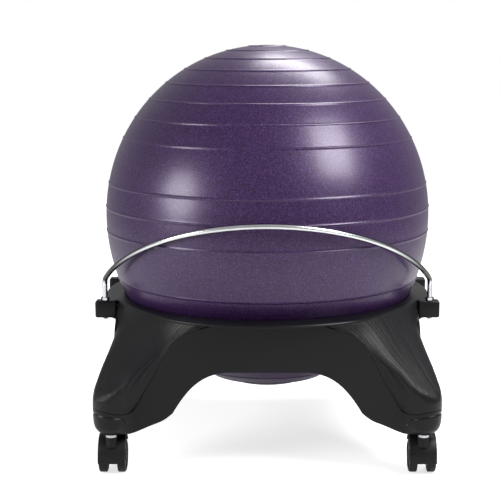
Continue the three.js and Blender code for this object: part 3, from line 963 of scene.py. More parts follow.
def curve_point(start, first, second, end, t):
    """A point on the smooth curve that leaves start towards first and reaches end from second."""
    return start * (1 - t) ** 3 + first * 3 * t * (1 - t) ** 2 + second * 3 * t * t * (1 - t) + end * t**3


def leg_station(height_share):
    """The leg's measures at a share of its height, from 0 at the foot's seam to 1 at the seat ring.

    The ridge stands on the leg's outer face, and the relief is the hollow beside it."""
    base = look("base")
    outer = base.stem_reach + base.foot_radius
    top_round = base.apron_plane - TOP_HUB
    seam_top = base.apron_plane - TOP_WIDTH
    seam_bottom = base.stem_reach - SEAM_INSET
    flare = share_at(LEG_SHARES, 1, height_share)
    round_share = share_at(LEG_SHARES, 2, height_share)
    seam_share = share_at(LEG_SHARES, 3, height_share)
    return {
        "height": base.foot_seam + (core_top() - base.foot_seam) * height_share,
        "relief": min(1, flare * 2.5) * eased(0.12, 0.55, height_share),
        "ridge": eased(0.10, 0.42, height_share) * (1 - eased(0.60, 1.05, height_share)),
        "reach": base.apron_plane + (outer - base.apron_plane) * flare,
        "round": base.foot_radius + (top_round - base.foot_radius) * round_share,
        "seam": seam_top + (seam_bottom - seam_top) * seam_share,
    }


def foot_station(height_share):
    """The foot's measures at a share of its height, from 0 at its sole to 1 at its seam."""
    base = look("base")
    top = base.foot_seam - base.seam_gap
    roundness = share_at(FOOT_SHARES, 1, height_share)
    inner_share = share_at(FOOT_SHARES, 2, height_share)
    inner = base.arch_half_bottom + (base.stem_reach - base.arch_half_bottom) * inner_share
    return {
        "height": base.foot_bottom + (top - base.foot_bottom) * height_share,
        "relief": 0,
        "ridge": 0,
        "reach": base.stem_reach + base.foot_radius * roundness,
        "round": base.foot_radius * roundness,
        "seam": max(inner, base.stem_reach - SEAM_INSET),
        "inner": inner,
    }


def leg_section(station, inset=0.0):
    """The leg's outline at one height, from the seam on the Y side round to the seam on the X side."""
    flange_steps, blend_steps, face_steps = 4, 12, 48
    ridge_narrowing, ridge_shift, ridge_bulge = 0.67, 0.010, 0.0012
    hollow_turn, flange_width = math.radians(48), 0.009
    plane = look("base").apron_plane - inset
    ridge, relief = station["ridge"], station["relief"]
    radius = station["round"] * (1 - ridge_narrowing * ridge)
    hub_x = station["reach"] - station["round"] - ridge_shift * ridge
    hub_y = station["reach"] - radius
    hub = Vector(((hub_x + hub_y) / ROOT_TWO, (hub_y - hub_x) / ROOT_TWO))
    radius -= inset
    seam = station["seam"]
    start = Vector(((seam + plane) / ROOT_TWO, (plane - seam) / ROOT_TWO))
    away = start - hub
    tangent = math.atan2(away.y, away.x) - math.acos(min(1, radius / away.length))
    angle = tangent + (min(tangent, hollow_turn) - tangent) * relief
    end = hub + radius * Vector((math.cos(angle), math.sin(angle)))
    heading = Vector((math.sin(angle), -math.cos(angle)))
    flat = Vector((1 / ROOT_TWO, -1 / ROOT_TWO))
    flange_reach = min(flange_width, (end - start).length * 0.4)
    flange = start + (end - start).normalized().lerp(flat, relief).normalized() * flange_reach
    span = (end - flange).length
    straight = (end - flange).normalized()
    leaving = straight.lerp(flat, relief).normalized()
    arriving = straight.lerp(heading, relief).normalized()
    pull = 0.33 + 0.17 * relief
    first = flange + leaving * span * pull
    second = end - arriving * span * pull
    half = [start.lerp(flange, step / flange_steps) for step in range(flange_steps)]
    for step in range(blend_steps):
        half.append(curve_point(flange, first, second, end, step / blend_steps))
    middle = []
    turning = radius * angle
    half_path = turning + hub.y
    for step in range(face_steps + 1):
        place = half_path * abs(1 - 2 * step / face_steps)
        if place > hub.y:
            turn = angle * (place - hub.y) / turning
            spot = hub + radius * Vector((math.cos(turn), math.sin(turn)))
        else:
            spot = Vector((hub.x + radius, place))
        bulge = ridge_bulge * ridge * (1 - (place / half_path) ** 2) ** 2
        middle.append(Vector((spot.x + bulge, spot.y if 2 * step <= face_steps else -spot.y)))
    outline = half + middle + [Vector((spot.x, -spot.y)) for spot in reversed(half)]
    return [((spot.x - spot.y) / ROOT_TWO, (spot.x + spot.y) / ROOT_TWO) for spot in outline]


def seam_rises(section):
    """How far the foot's seam lies above its lowest height at each place round the leg."""
    crown_rise, crown_half = 0.008, 0.72
    corner_rise, corner_width = 0.003, 0.009
    along = [0]
    for (x, y), (next_x, next_y) in zip(section, section[1:]):
        along.append(along[-1] + math.hypot(next_x - x, next_y - y))
    total = along[-1]
    rises = []
    for i, place in enumerate(along):
        swing = abs(2 * i / (len(section) - 1) - 1)
        crown = crown_rise * max(0, 1 - (swing / crown_half) ** 2) ** 2
        corner = max(0, 1 - min(place, total - place) / corner_width)
        rises.append(crown + corner_rise * corner * corner)
    return rises


def cover_shares():
    """The levels of a leg cover: even ones up to its lip, then closer and closer to its top."""
    shares = [LIP_START * level / COVER_LEVELS for level in range(COVER_LEVELS)]
    for step in range(LIP_LEVELS + 1):
        shares.append(LIP_START + (1 - LIP_START) * math.sin(math.pi / 2 * step / LIP_LEVELS))
    return shares


def cover_ring(share):
    """A leg cover's outline at one level; its lip goes out under the seat ring's rim and up beside it."""
    base = look("base")
    rim_inset, draw_slack, lip_drop, lip_fade = 0.0012, 0.0018, 0.0011, 0.014
    rim = base.seat_radius + base.flange_width
    under_rim = base.seat_height - base.rim_depth - FIT
    station = leg_station(share)
    station["seam"] += base.seam_gap / 2
    section = leg_section(station)
    lip = max(0, (share - LIP_START) / (1 - LIP_START))
    flare = 1 - math.sqrt(max(0, 1 - lip * lip))
    ring = []
    for (x, y), rise in zip(section, seam_rises(section)):
        away = min(abs(x - section[0][0]), abs(y - section[-1][1]))
        drawn = drawn_in(x, y)
        lip_radius = rim - rim_inset - (base.rim_draw - draw_slack) * drawn
        lip_top = under_rim + (base.seat_height - lip_drop - under_rim) * drawn
        grow = 1 + (lip_radius / math.hypot(x, y) - 1) * flare * eased(0, lip_fade, away)
        height = station["height"] + (lip_top - core_top()) * lip * lip
        ring.append(Vector((x * grow, y * grow, height + rise * (1 - share) ** 5)))
    return ring


def smooth_cover(rings, shares):
    """Smooths a leg cover up and down, but not at its seams or near its foot."""
    rounds, most = 100, 0.5
    seam_x, seam_y = rings[-1][0].x, rings[-1][-1].y
    free = []
    for spot in rings[COVER_LEVELS]:
        away = min(abs(spot.x - seam_x), abs(spot.y - seam_y))
        free.append(most * eased(0.002, 0.020, away))
    for _ in range(rounds):
        for level in range(COVER_LEVELS // 3, len(rings) - 1):
            ease = eased(0.30, 0.85, shares[level])
            near = zip(rings[level], rings[level - 1], rings[level + 1], free)
            rings[level] = [spot.lerp((low + high) / 2, share * ease) for spot, low, high, share in near]


def leg_cover(name):
    """One leg cover for the corner at +X and +Y, with its flow map and room for the lugs."""
    base = look("base")
    shares = cover_shares()
    rings = [cover_ring(share) for share in shares]
    smooth_cover(rings, shares)
    size = len(rings[0])
    faces = []
    for level in range(len(rings) - 1):
        for i in range(size - 1):
            low, high = level * size, (level + 1) * size
            faces.append((low + i + 1, low + i, high + i, high + i + 1))
    piece = piece_of(name, [place for ring in rings for place in ring], faces)
    flow = piece.data.uv_layers.new(name="leg_flow")
    for loop in piece.data.loops:
        level, i = divmod(loop.vertex_index, size)
        flow.data[loop.index].uv = (i / (size - 1), shares[level])
    thick = piece.modifiers.new("thick", "SOLIDIFY")
    thick.thickness = base.wall
    thick.offset = -1
    thick.use_even_offset = True
    bake(piece)
    rounded(piece, 0.0005, degrees=60)
    play = 0.0005
    lug_bottom, lug_top = lug_heights()
    half = base.lug_thickness / 2 + play
    low = (base.apron_plane - play, base.lug_middle - half, lug_bottom - play)
    high = (base.lug_outer + 2 * play, base.lug_middle + half, lug_top)
    cut(piece, box_of("room", low, high))
    return smoothed(painted(piece, finish("brushed_plastic")), 40)


def apron_outline(widen=0.0):
    """An apron's outline in X and Z, from the ring down the seams and over the arch."""
    base = look("base")
    levels, arch_steps = 48, 32

    def side(share):
        return leg_station(share)["seam"] - base.seam_gap / 2 + widen

    half = [(side(1), base.seat_height - base.rim_depth - FIT)]
    for level in range(levels, -1, -1):
        half.append((side(level / levels), leg_station(level / levels)["height"]))
    half.append((base.arch_half_bottom, base.foot_seam))
    span = base.arch_half_bottom - base.arch_half_top
    rise = base.arch_top - base.foot_seam
    start = Vector((base.arch_half_bottom, base.foot_seam))
    first = Vector((base.arch_half_top + span * 0.75, base.foot_seam + rise * 0.59))
    second = Vector((base.arch_half_top + span * 0.48, base.arch_top))
    end = Vector((base.arch_half_top, base.arch_top))
    for step in range(1, arch_steps + 1):
        half.append(tuple(curve_point(start, first, second, end, step / arch_steps)))
    return half + [(-x, z) for x, z in reversed(half)]


def foot_rings(inset):
    """The foot's outlines from its sole up, and a last one that closes its top; inset for its hollow."""
    base = look("base")
    levels = 44
    groove_depth, groove_half, groove_fade = 0.0012, 0.0008, 6
    shortest_flat, corner_step = 0.0005, 0.0006
    plane = base.apron_plane - inset
    rings = []
    for level in range(levels + 1):
        share = level / levels
        is_top = level == levels
        station = foot_station(share)
        station["seam"] += inset
        section = leg_section(station, inset)
        start = station["inner"] + 2 * inset
        height = station["height"] + inset * (2 if is_top else 1)
        flat = height + (base.seam_gap if is_top and not inset else 0)
        turn = max(start + shortest_flat, section[0][0] - corner_step)
        ring = [(start, plane, flat), (turn, plane, flat)]
        for i, ((x, y), rise) in enumerate(zip(section, seam_rises(section))):
            swing = abs(2 * i / (len(section) - 1) - 1)
            line = share_at(FOOT_LINE, 1, swing)
            sunk = groove_depth * math.exp(-(((station["height"] - line) / groove_half) ** 2))
            away = Vector((x - base.stem_reach, y - base.stem_reach)).normalized()
            back = away * sunk * min(1, (1 - swing) * groove_fade) * (0 if inset else 1)
            ring.append((x - back.x, y - back.y, height + rise * share**4))
        ring += [(plane, turn, flat), (plane, start, flat)]
        rings.append([Vector(place) for place in ring])
    top = rings[-1]
    middle = (top[0] + top[-1] + top[len(top) // 2]) / 3
    return rings + [[place.lerp(middle, 0.5) for place in top]]


def foot_shell(name):
    """One foot with its castor boss and inner web, for the corner at +X and +Y."""
    base, castor = look("base"), look("castor")
    sole, leg_top = base.foot_bottom, core_top()
    piece = lofted(name, foot_rings(0.0))
    cut(piece, lofted("hollow", foot_rings(base.wall)))

    stem = shifted(base.stem_reach, base.stem_reach)
    bore_radius = castor.stem_radius + 0.0021
    boss_top = sole + 0.044
    boss = round_bar("boss", bore_radius + 0.0052, sole + FIT, boss_top, 48)
    cut(piece, moved(boss, stem), "UNION")

    stem_distance = base.stem_reach * ROOT_TWO
    foot_inner = stem_distance - 0.034
    pad_middle = base.seat_radius + base.flange_width - SCREW_INSET
    pad_half, pad_depth, web_half = 0.007, 0.005, 0.0025
    pad_outer, pad_inner = pad_middle + pad_half, pad_middle - pad_half
    web_outline = [
        (stem_distance, sole + 0.0032),
        (stem_distance, boss_top),
        (pad_outer, leg_top - pad_depth),
        (pad_outer, leg_top),
        (pad_inner, leg_top),
        (pad_inner, leg_top - 0.0646),
        (foot_inner, base.foot_seam),
        (foot_inner, sole + 0.0128),
    ]
    to_corner = Matrix.Rotation(math.radians(45), 4, "Z")
    cut(piece, moved(plate("web", web_outline, -web_half, web_half), to_corner), "UNION")
    pad = box_of("pad", (pad_inner, -pad_half, leg_top - pad_depth), (pad_outer, pad_half, leg_top))
    cut(piece, moved(pad, to_corner), "UNION")
    cut(piece, moved(round_bar("bore", bore_radius, 0.05, 0.13, 48), stem))

    screw_reach = pad_middle / ROOT_TWO
    head_floor = leg_top - pad_depth
    head_radius, shank_radius = 0.0043, 0.0022
    screw_hole = turned(
        "screw_hole",
        [
            (0, head_floor - 0.0066),
            (head_radius, head_floor - 0.0066),
            (head_radius, head_floor),
            (shank_radius, head_floor),
            (shank_radius, leg_top + 0.002),
            (0, leg_top + 0.002),
        ],
        24,
    )
    cut(piece, moved(screw_hole, shifted(screw_reach, screw_reach)))
    return finished(piece, "black_plastic", 32)


# Operators

class CHAIR_OT_ball(bpy.types.Operator):
    """Make the ribbed ball and its valve plug"""

    bl_idname = "chair.make_ball"
    bl_label = "Ball"

    def execute(self, context):
        # The ball tree's inputs have the names of the ball's sizes
        ball = look("ball")
        sizes = [key for key in BallLook.__annotations__ if not key.endswith("colour")]
        values = {key.replace("_", " ").title(): getattr(ball, key) for key in sizes}
        values["Material"] = finish("ball_skin")
        piece = grown(piece_of("ribbed_ball", [(0, 0, 0)], []), ball_tree(), values)
        settle(finished(piece, "ball_skin", 60), "ball", "ball_skin", "ball")

        top = ball.centre_height - ball.lower_half - FIT
        shank, head = 0.0042, 0.009
        profile = [
            (0, top - 0.0018),
            (head - 0.0024, top - 0.0018),
            (head - 0.0010, top - 0.0014),
            (head, top - 0.0006),
            (head, top),
            (shank, top),
            (shank - 0.0003, top + 0.0020),
            (shank, top + 0.0030),
            (shank - 0.0003, top + 0.0045),
            (shank, top + 0.0058),
            (shank - 0.0006, top + 0.0085),
            (shank - 0.0014, top + 0.0090),
            (0, top + 0.0090),
        ]
        plug = turned("valve_plug_cap", profile, 40, finish("plug_plastic"), 40)
        settle(plug, "valve_plug", "plug_plastic", "valve_plug")
        return {"FINISHED"}


class CHAIR_OT_seat_ring(bpy.types.Operator):
    """Make the seat ring with its four lugs"""

    bl_idname = "chair.make_seat_ring"
    bl_label = "Seat Ring"

    def execute(self, context):
        base = look("base")
        rim = base.seat_radius + base.flange_width
        underside = base.seat_height - base.rim_depth
        piece = turned("seat_ring_moulding", self.ring_profile(rim, underside), 256)

        # The ring's edge draws in over the leg covers, from a circle on its top face outwards
        root = base.seat_radius + 0.0135
        for vertex in piece.data.vertices:
            x, y, height = vertex.co
            radius = math.hypot(x, y)
            share = max(0, (radius - root) / (rim - root))
            shrink = 1 - base.rim_draw * drawn_in(x, y) * share / radius
            vertex.co = (x * shrink, y * shrink, height)

        boss_spot, boss_radius = (rim - SCREW_INSET) / ROOT_TWO, 0.006
        boss_low, boss_high = base.seat_height - base.flange_fall, underside + 0.001
        for sign_x, sign_y in CORNERS.values():
            boss = round_bar("boss", boss_radius, boss_low, boss_high, 32)
            cut(piece, moved(boss, shifted(sign_x * boss_spot, sign_y * boss_spot)), "UNION")
        for sign_x, sign_y in sorted(CORNERS.values()):
            self.add_lug(piece, sign_x, sign_y)
        for sign_x, sign_y in sorted(CORNERS.values()):
            self.cut_lug(piece, shifted(sign_x * post_reach(), sign_y * base.lug_middle))
        settle(finished(piece, "black_plastic", 30), "base", "black_plastic", "seat_ring")
        return {"FINISHED"}

    def ring_profile(self, rim, underside):
        """The ring's section: the seat, the crest, the rim and the wall below them."""
        base, ball = look("base"), look("ball")
        seat_steps, wall_steps, play = 12, 8, 0.0004
        top = base.seat_height
        skirt_bottom = top - base.skirt_depth

        def wall_radius(height):
            offset = (height - ball.centre_height) / ball.lower_half
            return ball.radius * math.sqrt(1 - offset * offset) + play

        profile = []
        for step in range(seat_steps + 1):
            height = skirt_bottom + (base.skirt_depth - 0.001) * step / seat_steps
            profile.append((wall_radius(height), height))
        profile += [
            (base.seat_radius + play, top - 0.0003),
            (base.seat_radius + 0.0013, top),
            (base.seat_radius + 0.0030, top),
        ]
        for width_share, fall_share in CREST_SHARES:
            distance = base.seat_radius + base.flange_width * width_share
            profile.append((distance, top - base.rim_depth * fall_share))
        profile.append((rim - 0.0020, underside))
        for step in range(wall_steps + 1):
            height = underside - (underside - skirt_bottom) * step / wall_steps
            profile.append((wall_radius(height) + base.wall, height))
        return profile + profile[:1]

    def add_lug(self, piece, sign_x, sign_y):
        """A lug with rounded edges, and the gusset under it."""
        base = look("base")
        lug_bottom, lug_top = lug_heights()
        middle, half = sign_y * base.lug_middle, base.lug_thickness / 2
        near, far = sorted((sign_x * (base.apron_plane + APRON_PLAY), sign_x * base.lug_outer))
        lug = box_of("lug", (near, middle - half, lug_bottom), (far, middle + half, lug_top))
        cut(piece, rounded(lug, 0.0036, segments=4), "UNION")
        half -= 0.003
        gusset = plate("gusset", self.gusset_outline(lug_bottom), middle - half, middle + half)
        cut(piece, moved(rounded(gusset, 0.0012), Matrix.Diagonal((sign_x, 1, 1, 1))), "UNION")

    def gusset_outline(self, bottom):
        """The hollow fillet under a lug, against the apron."""
        near = look("base").apron_plane + APRON_PLAY
        radius, edge, rise, steps = 0.0095, 0.0006, 0.004, 12
        outline = [(near, bottom + rise), (near, bottom - radius), (near + edge, bottom - radius)]
        for step in range(1, steps + 1):
            angle = math.pi - math.pi / 2 * step / steps
            x = near + edge + radius + radius * math.cos(angle)
            outline.append((x, bottom - radius + radius * math.sin(angle)))
        outline.append((near + edge + radius, bottom + rise))
        return outline

    def cut_lug(self, piece, spot):
        """The bar's hole in a lug, and the nut's pocket below it."""
        bar = look("bar")
        lug_bottom, lug_top = lug_heights()
        over = 0.002
        radius = bar.radius + 0.0002
        profile = [
            (0, lug_bottom - over),
            (radius, lug_bottom - over),
            (radius, lug_top - 0.0008),
            (radius + 0.001, lug_top + 0.0004),
            (radius + 0.001, lug_top + over),
            (0, lug_top + over),
        ]
        cut(piece, moved(turned("hole", profile, 32), spot))
        corner = (bar.nut_across + 0.0012) / math.sqrt(3)
        pocket = round_bar("pocket", corner, lug_bottom - over, lug_bottom + POCKET_DEPTH, 6)
        cut(piece, moved(pocket, spot))


class CHAIR_OT_aprons(bpy.types.Operator):
    """Make the four arched aprons"""

    bl_idname = "chair.make_aprons"
    bl_label = "Aprons"

    def execute(self, context):
        plane = look("base").apron_plane
        panel, tongue_reach, tongue_depth, overlap = 0.003, 0.006, 0.0045, 0.0001
        front = plate("apron_front_panel", apron_outline(), -plane, panel - plane)
        tongue = plate("tongue", apron_outline(tongue_reach), panel - overlap - plane, tongue_depth - plane)
        cut(front, tongue, "UNION")
        finished(front, "black_plastic", 40)
        turns = {"left": -90, "right": 90, "rear": 180}
        for side, degrees in turns.items():
            copied(front, f"apron_{side}_panel", Matrix.Rotation(math.radians(degrees), 4, "Z"))
        for side in ("front", *turns):
            piece = bpy.data.objects[f"apron_{side}_panel"]
            settle(piece, "base", "black_plastic", f"apron_{side}")
        return {"FINISHED"}


class CHAIR_OT_leg_covers(bpy.types.Operator):
    """Make the four leg covers"""

    bl_idname = "chair.make_leg_covers"
    bl_label = "Leg Covers"

    def execute(self, context):
        set_at_corners(leg_cover("leg_cover_pattern"), "leg_saddle", "leg_cover")
        return {"FINISHED"}


class CHAIR_OT_feet(bpy.types.Operator):
    """Make the four feet with their inner webs"""

    bl_idname = "chair.make_feet"
    bl_label = "Feet"

    def execute(self, context):
        set_at_corners(foot_shell("foot_pattern"), "foot", "leg_core")
        return {"FINISHED"}


class CHAIR_OT_support_bar(bpy.types.Operator):
    """Make the bent bar with its collars and nuts"""

    bl_idname = "chair.make_support_bar"
    bl_label = "Support Bar"

    def execute(self, context):
        base, bar = look("base"), look("bar")
        lug_bottom, lug_top = lug_heights()
        piece = line_of("support_bar_rod", self.bar_path(lug_bottom, lug_top))
        grown(piece, rod_tree(), {"Radius": bar.radius, "Sides": 28})
        settle(finished(piece, "chrome_plate", 50), "base", "chrome_plate", "support_bar")

        nut_height, collar_height = 0.0055, 0.0047
        nut_bottom = lug_bottom + POCKET_DEPTH - FIT - nut_height
        shapes = {
            "collar": (lug_top + FIT, collar_height, "chrome_plate", 0.0008),
            "nut": (nut_bottom, nut_height, "zinc_steel", 0.0006),
        }
        thread = self.thread_profile(lug_bottom - bar.thread_end)
        for side, sign in SIDES.items():
            spot = shifted(sign * post_reach(), -base.lug_middle)
            end = moved(turned(f"bar_thread_{side}", thread, 32, finish("zinc_steel"), 20), spot)
            settle(end, "base", "zinc_steel")
            for kind, (bottom, height, slot, chamfer) in shapes.items():
                nut = self.make_nut(f"bar_{kind}_{side}_hex", bottom, height, chamfer)
                smoothed(painted(moved(nut, spot), finish(slot)), 25)
                settle(nut, "base", slot, f"bar_{kind}_{side}")
        return {"FINISHED"}

    def bar_path(self, lug_bottom, lug_top):
        """The bar's middle line, from one lug up, over in an arc and down to the other."""
        bar, middle, post_x = look("bar"), look("base").lug_middle, post_reach()
        post_steps, bend_steps, arc_steps = 6, 12, 160
        post_top = lug_top + bar.post_height
        slope = (bar.peak_rise - bar.post_height) / (bar.plan_radius - middle)

        def arc_point(angle):
            y = -bar.plan_radius * math.sin(angle)
            return Vector((-bar.plan_radius * math.cos(angle), y, post_top + slope * (-y - middle)))

        # The bend is a smooth curve that starts and ends a little over one bend radius from the corner
        reach = bar.bend_radius * 1.3
        first = math.atan2(middle, post_x) + reach / bar.plan_radius
        corner = Vector((-post_x, -middle, post_top))
        low = corner - Vector((0, 0, reach))
        high = arc_point(first)
        left = []
        for step in range(post_steps):
            left.append(Vector((-post_x, -middle, lug_bottom + (low.z - lug_bottom) * step / post_steps)))
        for step in range(bend_steps + 1):
            t = step / bend_steps
            left.append(low * (1 - t) ** 2 + corner * 2 * t * (1 - t) + high * t * t)
        arc = []
        for step in range(1, arc_steps):
            arc.append(arc_point(first + (math.pi - 2 * first) * step / arc_steps))
        return left + arc + [Vector((-spot.x, spot.y, spot.z)) for spot in reversed(left)]

    def thread_profile(self, bottom):
        """The threaded end that stands out under a lug."""
        radius, pitch, turns = look("bar").radius, 0.00125, 5
        core = radius - 0.0005
        start = bottom + 0.0003
        profile = [(0, bottom), (radius - 0.0009, bottom)]
        for turn in range(turns):
            foot = start + turn * pitch
            profile += [(core, foot), (radius, foot + pitch * 0.45), (core, foot + pitch)]
        return profile + [(0, start + turns * pitch)]

    def make_nut(self, name, bottom, height, chamfer):
        bar = look("bar")
        corner = bar.nut_across / math.sqrt(3)
        flat = bar.nut_across / 2
        top = bottom + height
        over = 0.002
        nut = round_bar(name, corner, bottom, top, 6)
        profile = [
            (0, bottom),
            (flat - 0.0003, bottom),
            (corner + 0.0002, bottom + chamfer),
            (corner + 0.0002, top - chamfer),
            (flat - 0.0003, top),
            (0, top),
        ]
        cut(nut, turned("barrel", profile, 48), "INTERSECT")
        return outward(cut(nut, round_bar("bore", bar.radius + 0.0001, bottom - over, top + over, 32)))


class CHAIR_OT_fixings(bpy.types.Operator):
    """Make the screws under the ring and the castor sockets"""

    bl_idname = "chair.make_fixings"
    bl_label = "Fixings"

    def execute(self, context):
        base = look("base")
        screw, socket = self.make_screw(), self.make_socket()
        screw_reach = (base.seat_radius + base.flange_width - SCREW_INSET) / ROOT_TWO
        for corner, (sign_x, sign_y) in CORNERS.items():
            spot = shifted(sign_x * screw_reach, sign_y * screw_reach)
            piece = copied(screw, f"cross_screw_{corner}", spot)
            settle(piece, "base", "zinc_steel", f"ring_screw_{corner}")
            spot = shifted(sign_x * base.stem_reach, sign_y * base.stem_reach)
            piece = copied(socket, f"stem_sleeve_{corner}", spot)
            settle(piece, "base", "zinc_steel", f"castor_socket_{corner}")
        bpy.data.objects.remove(screw)
        bpy.data.objects.remove(socket)
        return {"FINISHED"}

    def make_screw(self):
        base = look("base")
        head_top = core_top() - 0.0053
        tip = base.seat_height - base.flange_fall + 0.004
        head, shank, core, pitch, turns = 0.004, 0.002, 0.0016, 0.0014, 6
        profile = [
            (0, head_top - 0.0026),
            (head - 0.0016, head_top - 0.0026),
            (head - 0.0004, head_top - 0.0018),
            (head, head_top - 0.0007),
            (head, head_top),
            (shank, head_top),
        ]
        for turn in range(turns):
            foot = head_top + 0.0006 + turn * pitch
            profile += [(core, foot), (shank, foot + pitch / 2), (core, foot + pitch)]
        profile += [(shank - 0.0006, tip), (0, tip)]
        screw = turned("screw_pattern", profile, 28, finish("zinc_steel"), 25)
        slot = box_of("slot", (-0.0022, -0.0004, head_top - 0.003), (0.0022, 0.0004, head_top - 0.0014))
        cross = copied(slot, "cross", quarter_turn("Z"))
        cut(screw, slot)
        cut(screw, cross)
        return finished(screw, "zinc_steel", 25)

    def make_socket(self):
        base, castor = look("base"), look("castor")
        bore = castor.stem_radius + 0.0002
        outer = bore + 0.0016
        low, high = base.foot_bottom + FIT, base.foot_bottom + 0.038
        chamfer, lead = 0.0003, 0.0005
        profile = [
            (bore, low + lead),
            (bore + lead, low),
            (outer - chamfer, low),
            (outer, low + chamfer),
            (outer, high - chamfer),
            (outer - chamfer, high),
            (bore, high),
            (bore, low + lead),
        ]
        return turned("socket_pattern", profile, 40, finish("zinc_steel"), 40)


class CHAIR_OT_castors(bpy.types.Operator):
    """Make the four castors with their stems, hoods, axles and wheels"""

    bl_idname = "chair.make_castors"
    bl_label = "Castors"

    def execute(self, context):
        base, castor = look("base"), look("castor")
        to_axle = Matrix.Translation((0, castor.trail, castor.wheel_radius)) @ quarter_turn("Y")
        patterns = {
            "castor_hood": (self.make_hood(castor, to_axle), "castor_nylon"),
            "castor_stem": (self.make_stem(base, castor), "zinc_steel"),
            "castor_axle": (moved(self.make_axle(castor), to_axle), "zinc_steel"),
        }
        wheel = moved(self.make_wheel(castor), to_axle)
        for corner, (sign_x, sign_y) in CORNERS.items():
            spot = shifted(sign_x * base.stem_reach, sign_y * base.stem_reach)
            for node, (pattern, slot) in patterns.items():
                piece = copied(pattern, f"{node}_{corner}_made", spot)
                settle(piece, f"castor_{corner}", slot, f"{node}_{corner}")
            for side, sign in SIDES.items():
                body = f"wheel_{corner}_{side}"
                piece = copied(wheel, f"{body}_made", spot @ Matrix.Diagonal((sign, 1, 1, 1)))
                settle(piece, body, "castor_nylon", body)
        for pattern, _ in patterns.values():
            bpy.data.objects.remove(pattern)
        bpy.data.objects.remove(wheel)
        return {"FINISHED"}

    def make_hood(self, castor, to_axle):
        """The hood: a curved guard over both wheels, the web between them, the hub and the stem's boss."""
        steps = 56
        web_half = castor.web_half
        inner = castor.wheel_radius + 0.0015
        outer = inner + 0.0025
        half = web_half + castor.side_gap + castor.wheel_width
        front, rear = math.radians(190), math.radians(32)
        raised = castor.hood_top - FIT - castor.wheel_radius - outer

        def arc(radius, start, end):
            spots = []
            for step in range(steps + 1):
                angle = start + (end - start) * step / steps
                tall = radius + (raised if math.sin(angle) > 0 else 0)
                x = castor.trail + radius * math.cos(angle)
                spots.append((x, castor.wheel_radius + tall * math.sin(angle)))
            return spots

        guard = plate("castor_hood_pattern", arc(outer, rear, front) + arc(inner, front, rear), -half, half)
        moved(rounded(guard, 0.0008, degrees=50), quarter_turn("Z"))
        web = plate("web", arc(inner + 0.00125, rear, front), -web_half, web_half)
        cut(guard, moved(web, quarter_turn("Z")), "UNION")
        boss_radius = 0.0085
        hub = round_bar("hub", boss_radius, -web_half, web_half, 48)
        cut(guard, moved(hub, to_axle), "UNION")
        top = castor.hood_top
        profile = [
            (0, top - 0.014),
            (boss_radius + 0.001, top - 0.014),
            (boss_radius, top - 0.006),
            (boss_radius, top - 0.0006),
            (boss_radius - 0.0006, top),
            (0, top),
        ]
        cut(guard, turned("boss", profile, 48), "UNION")
        cut(guard, round_bar("seat", 0.0043, top - 0.008, top + 0.002, 32))
        bore = round_bar("bore", castor.axle_radius + 0.0002, -half, half, 32)
        cut(guard, moved(bore, to_axle))
        return finished(guard, "castor_nylon", 35)

    def make_stem(self, base, castor):
        low, high = castor.hood_top + FIT, base.foot_bottom - FIT
        pin = castor.hood_top - 0.0077
        collar, stem = castor.collar_radius, castor.stem_radius
        profile = [
            (0, pin),
            (0.0037, pin),
            (0.004, pin + 0.0003),
            (0.004, low),
            (collar - 0.0005, low),
            (collar, low + 0.0005),
            (collar, high - 0.0005),
            (collar - 0.0005, high),
            (stem, high),
            (stem, high + 0.024),
            (stem - 0.0009, high + 0.025),
            (stem - 0.0009, high + 0.028),
            (stem, high + 0.029),
            (stem, high + 0.032),
            (stem - 0.001, high + 0.033),
            (0, high + 0.033),
        ]
        return turned("castor_stem_pattern", profile, 48, finish("zinc_steel"))

    def make_axle(self, castor):
        half = castor.web_half + castor.side_gap + castor.wheel_width - 0.0023
        radius, chamfer = castor.axle_radius, 0.0004
        profile = [
            (0, -half),
            (radius - chamfer, -half),
            (radius, chamfer - half),
            (radius, half - chamfer),
            (radius - chamfer, half),
            (0, half),
        ]
        return turned("castor_axle_pattern", profile, 32, finish("zinc_steel"))

    def make_wheel(self, castor):
        inside = castor.web_half + castor.side_gap
        outside = inside + castor.wheel_width
        bore = castor.axle_radius + 0.0002
        rim = castor.wheel_radius
        profile = [
            (bore, inside),
            (rim - 0.0017, inside),
            (rim - 0.0005, inside + 0.0004),
            (rim, inside + 0.0015),
            (rim, outside - 0.0026),
            (rim - 0.0005, outside - 0.0011),
            (rim - 0.0017, outside - 0.0003),
            (rim - 0.0030, outside),
            (rim - 0.0044, outside),
            (rim - 0.0052, outside - 0.0005),
            (rim - 0.0060, outside - 0.0016),
            (0.0092, outside - 0.0016),
            (0.0080, outside - 0.0004),
            (0.0070, outside),
            (0, outside),
            (0, outside - 0.002),
            (bore, outside - 0.002),
            (bore, inside),
        ]
        return turned("wheel_pattern", profile, 72, finish("castor_nylon"))


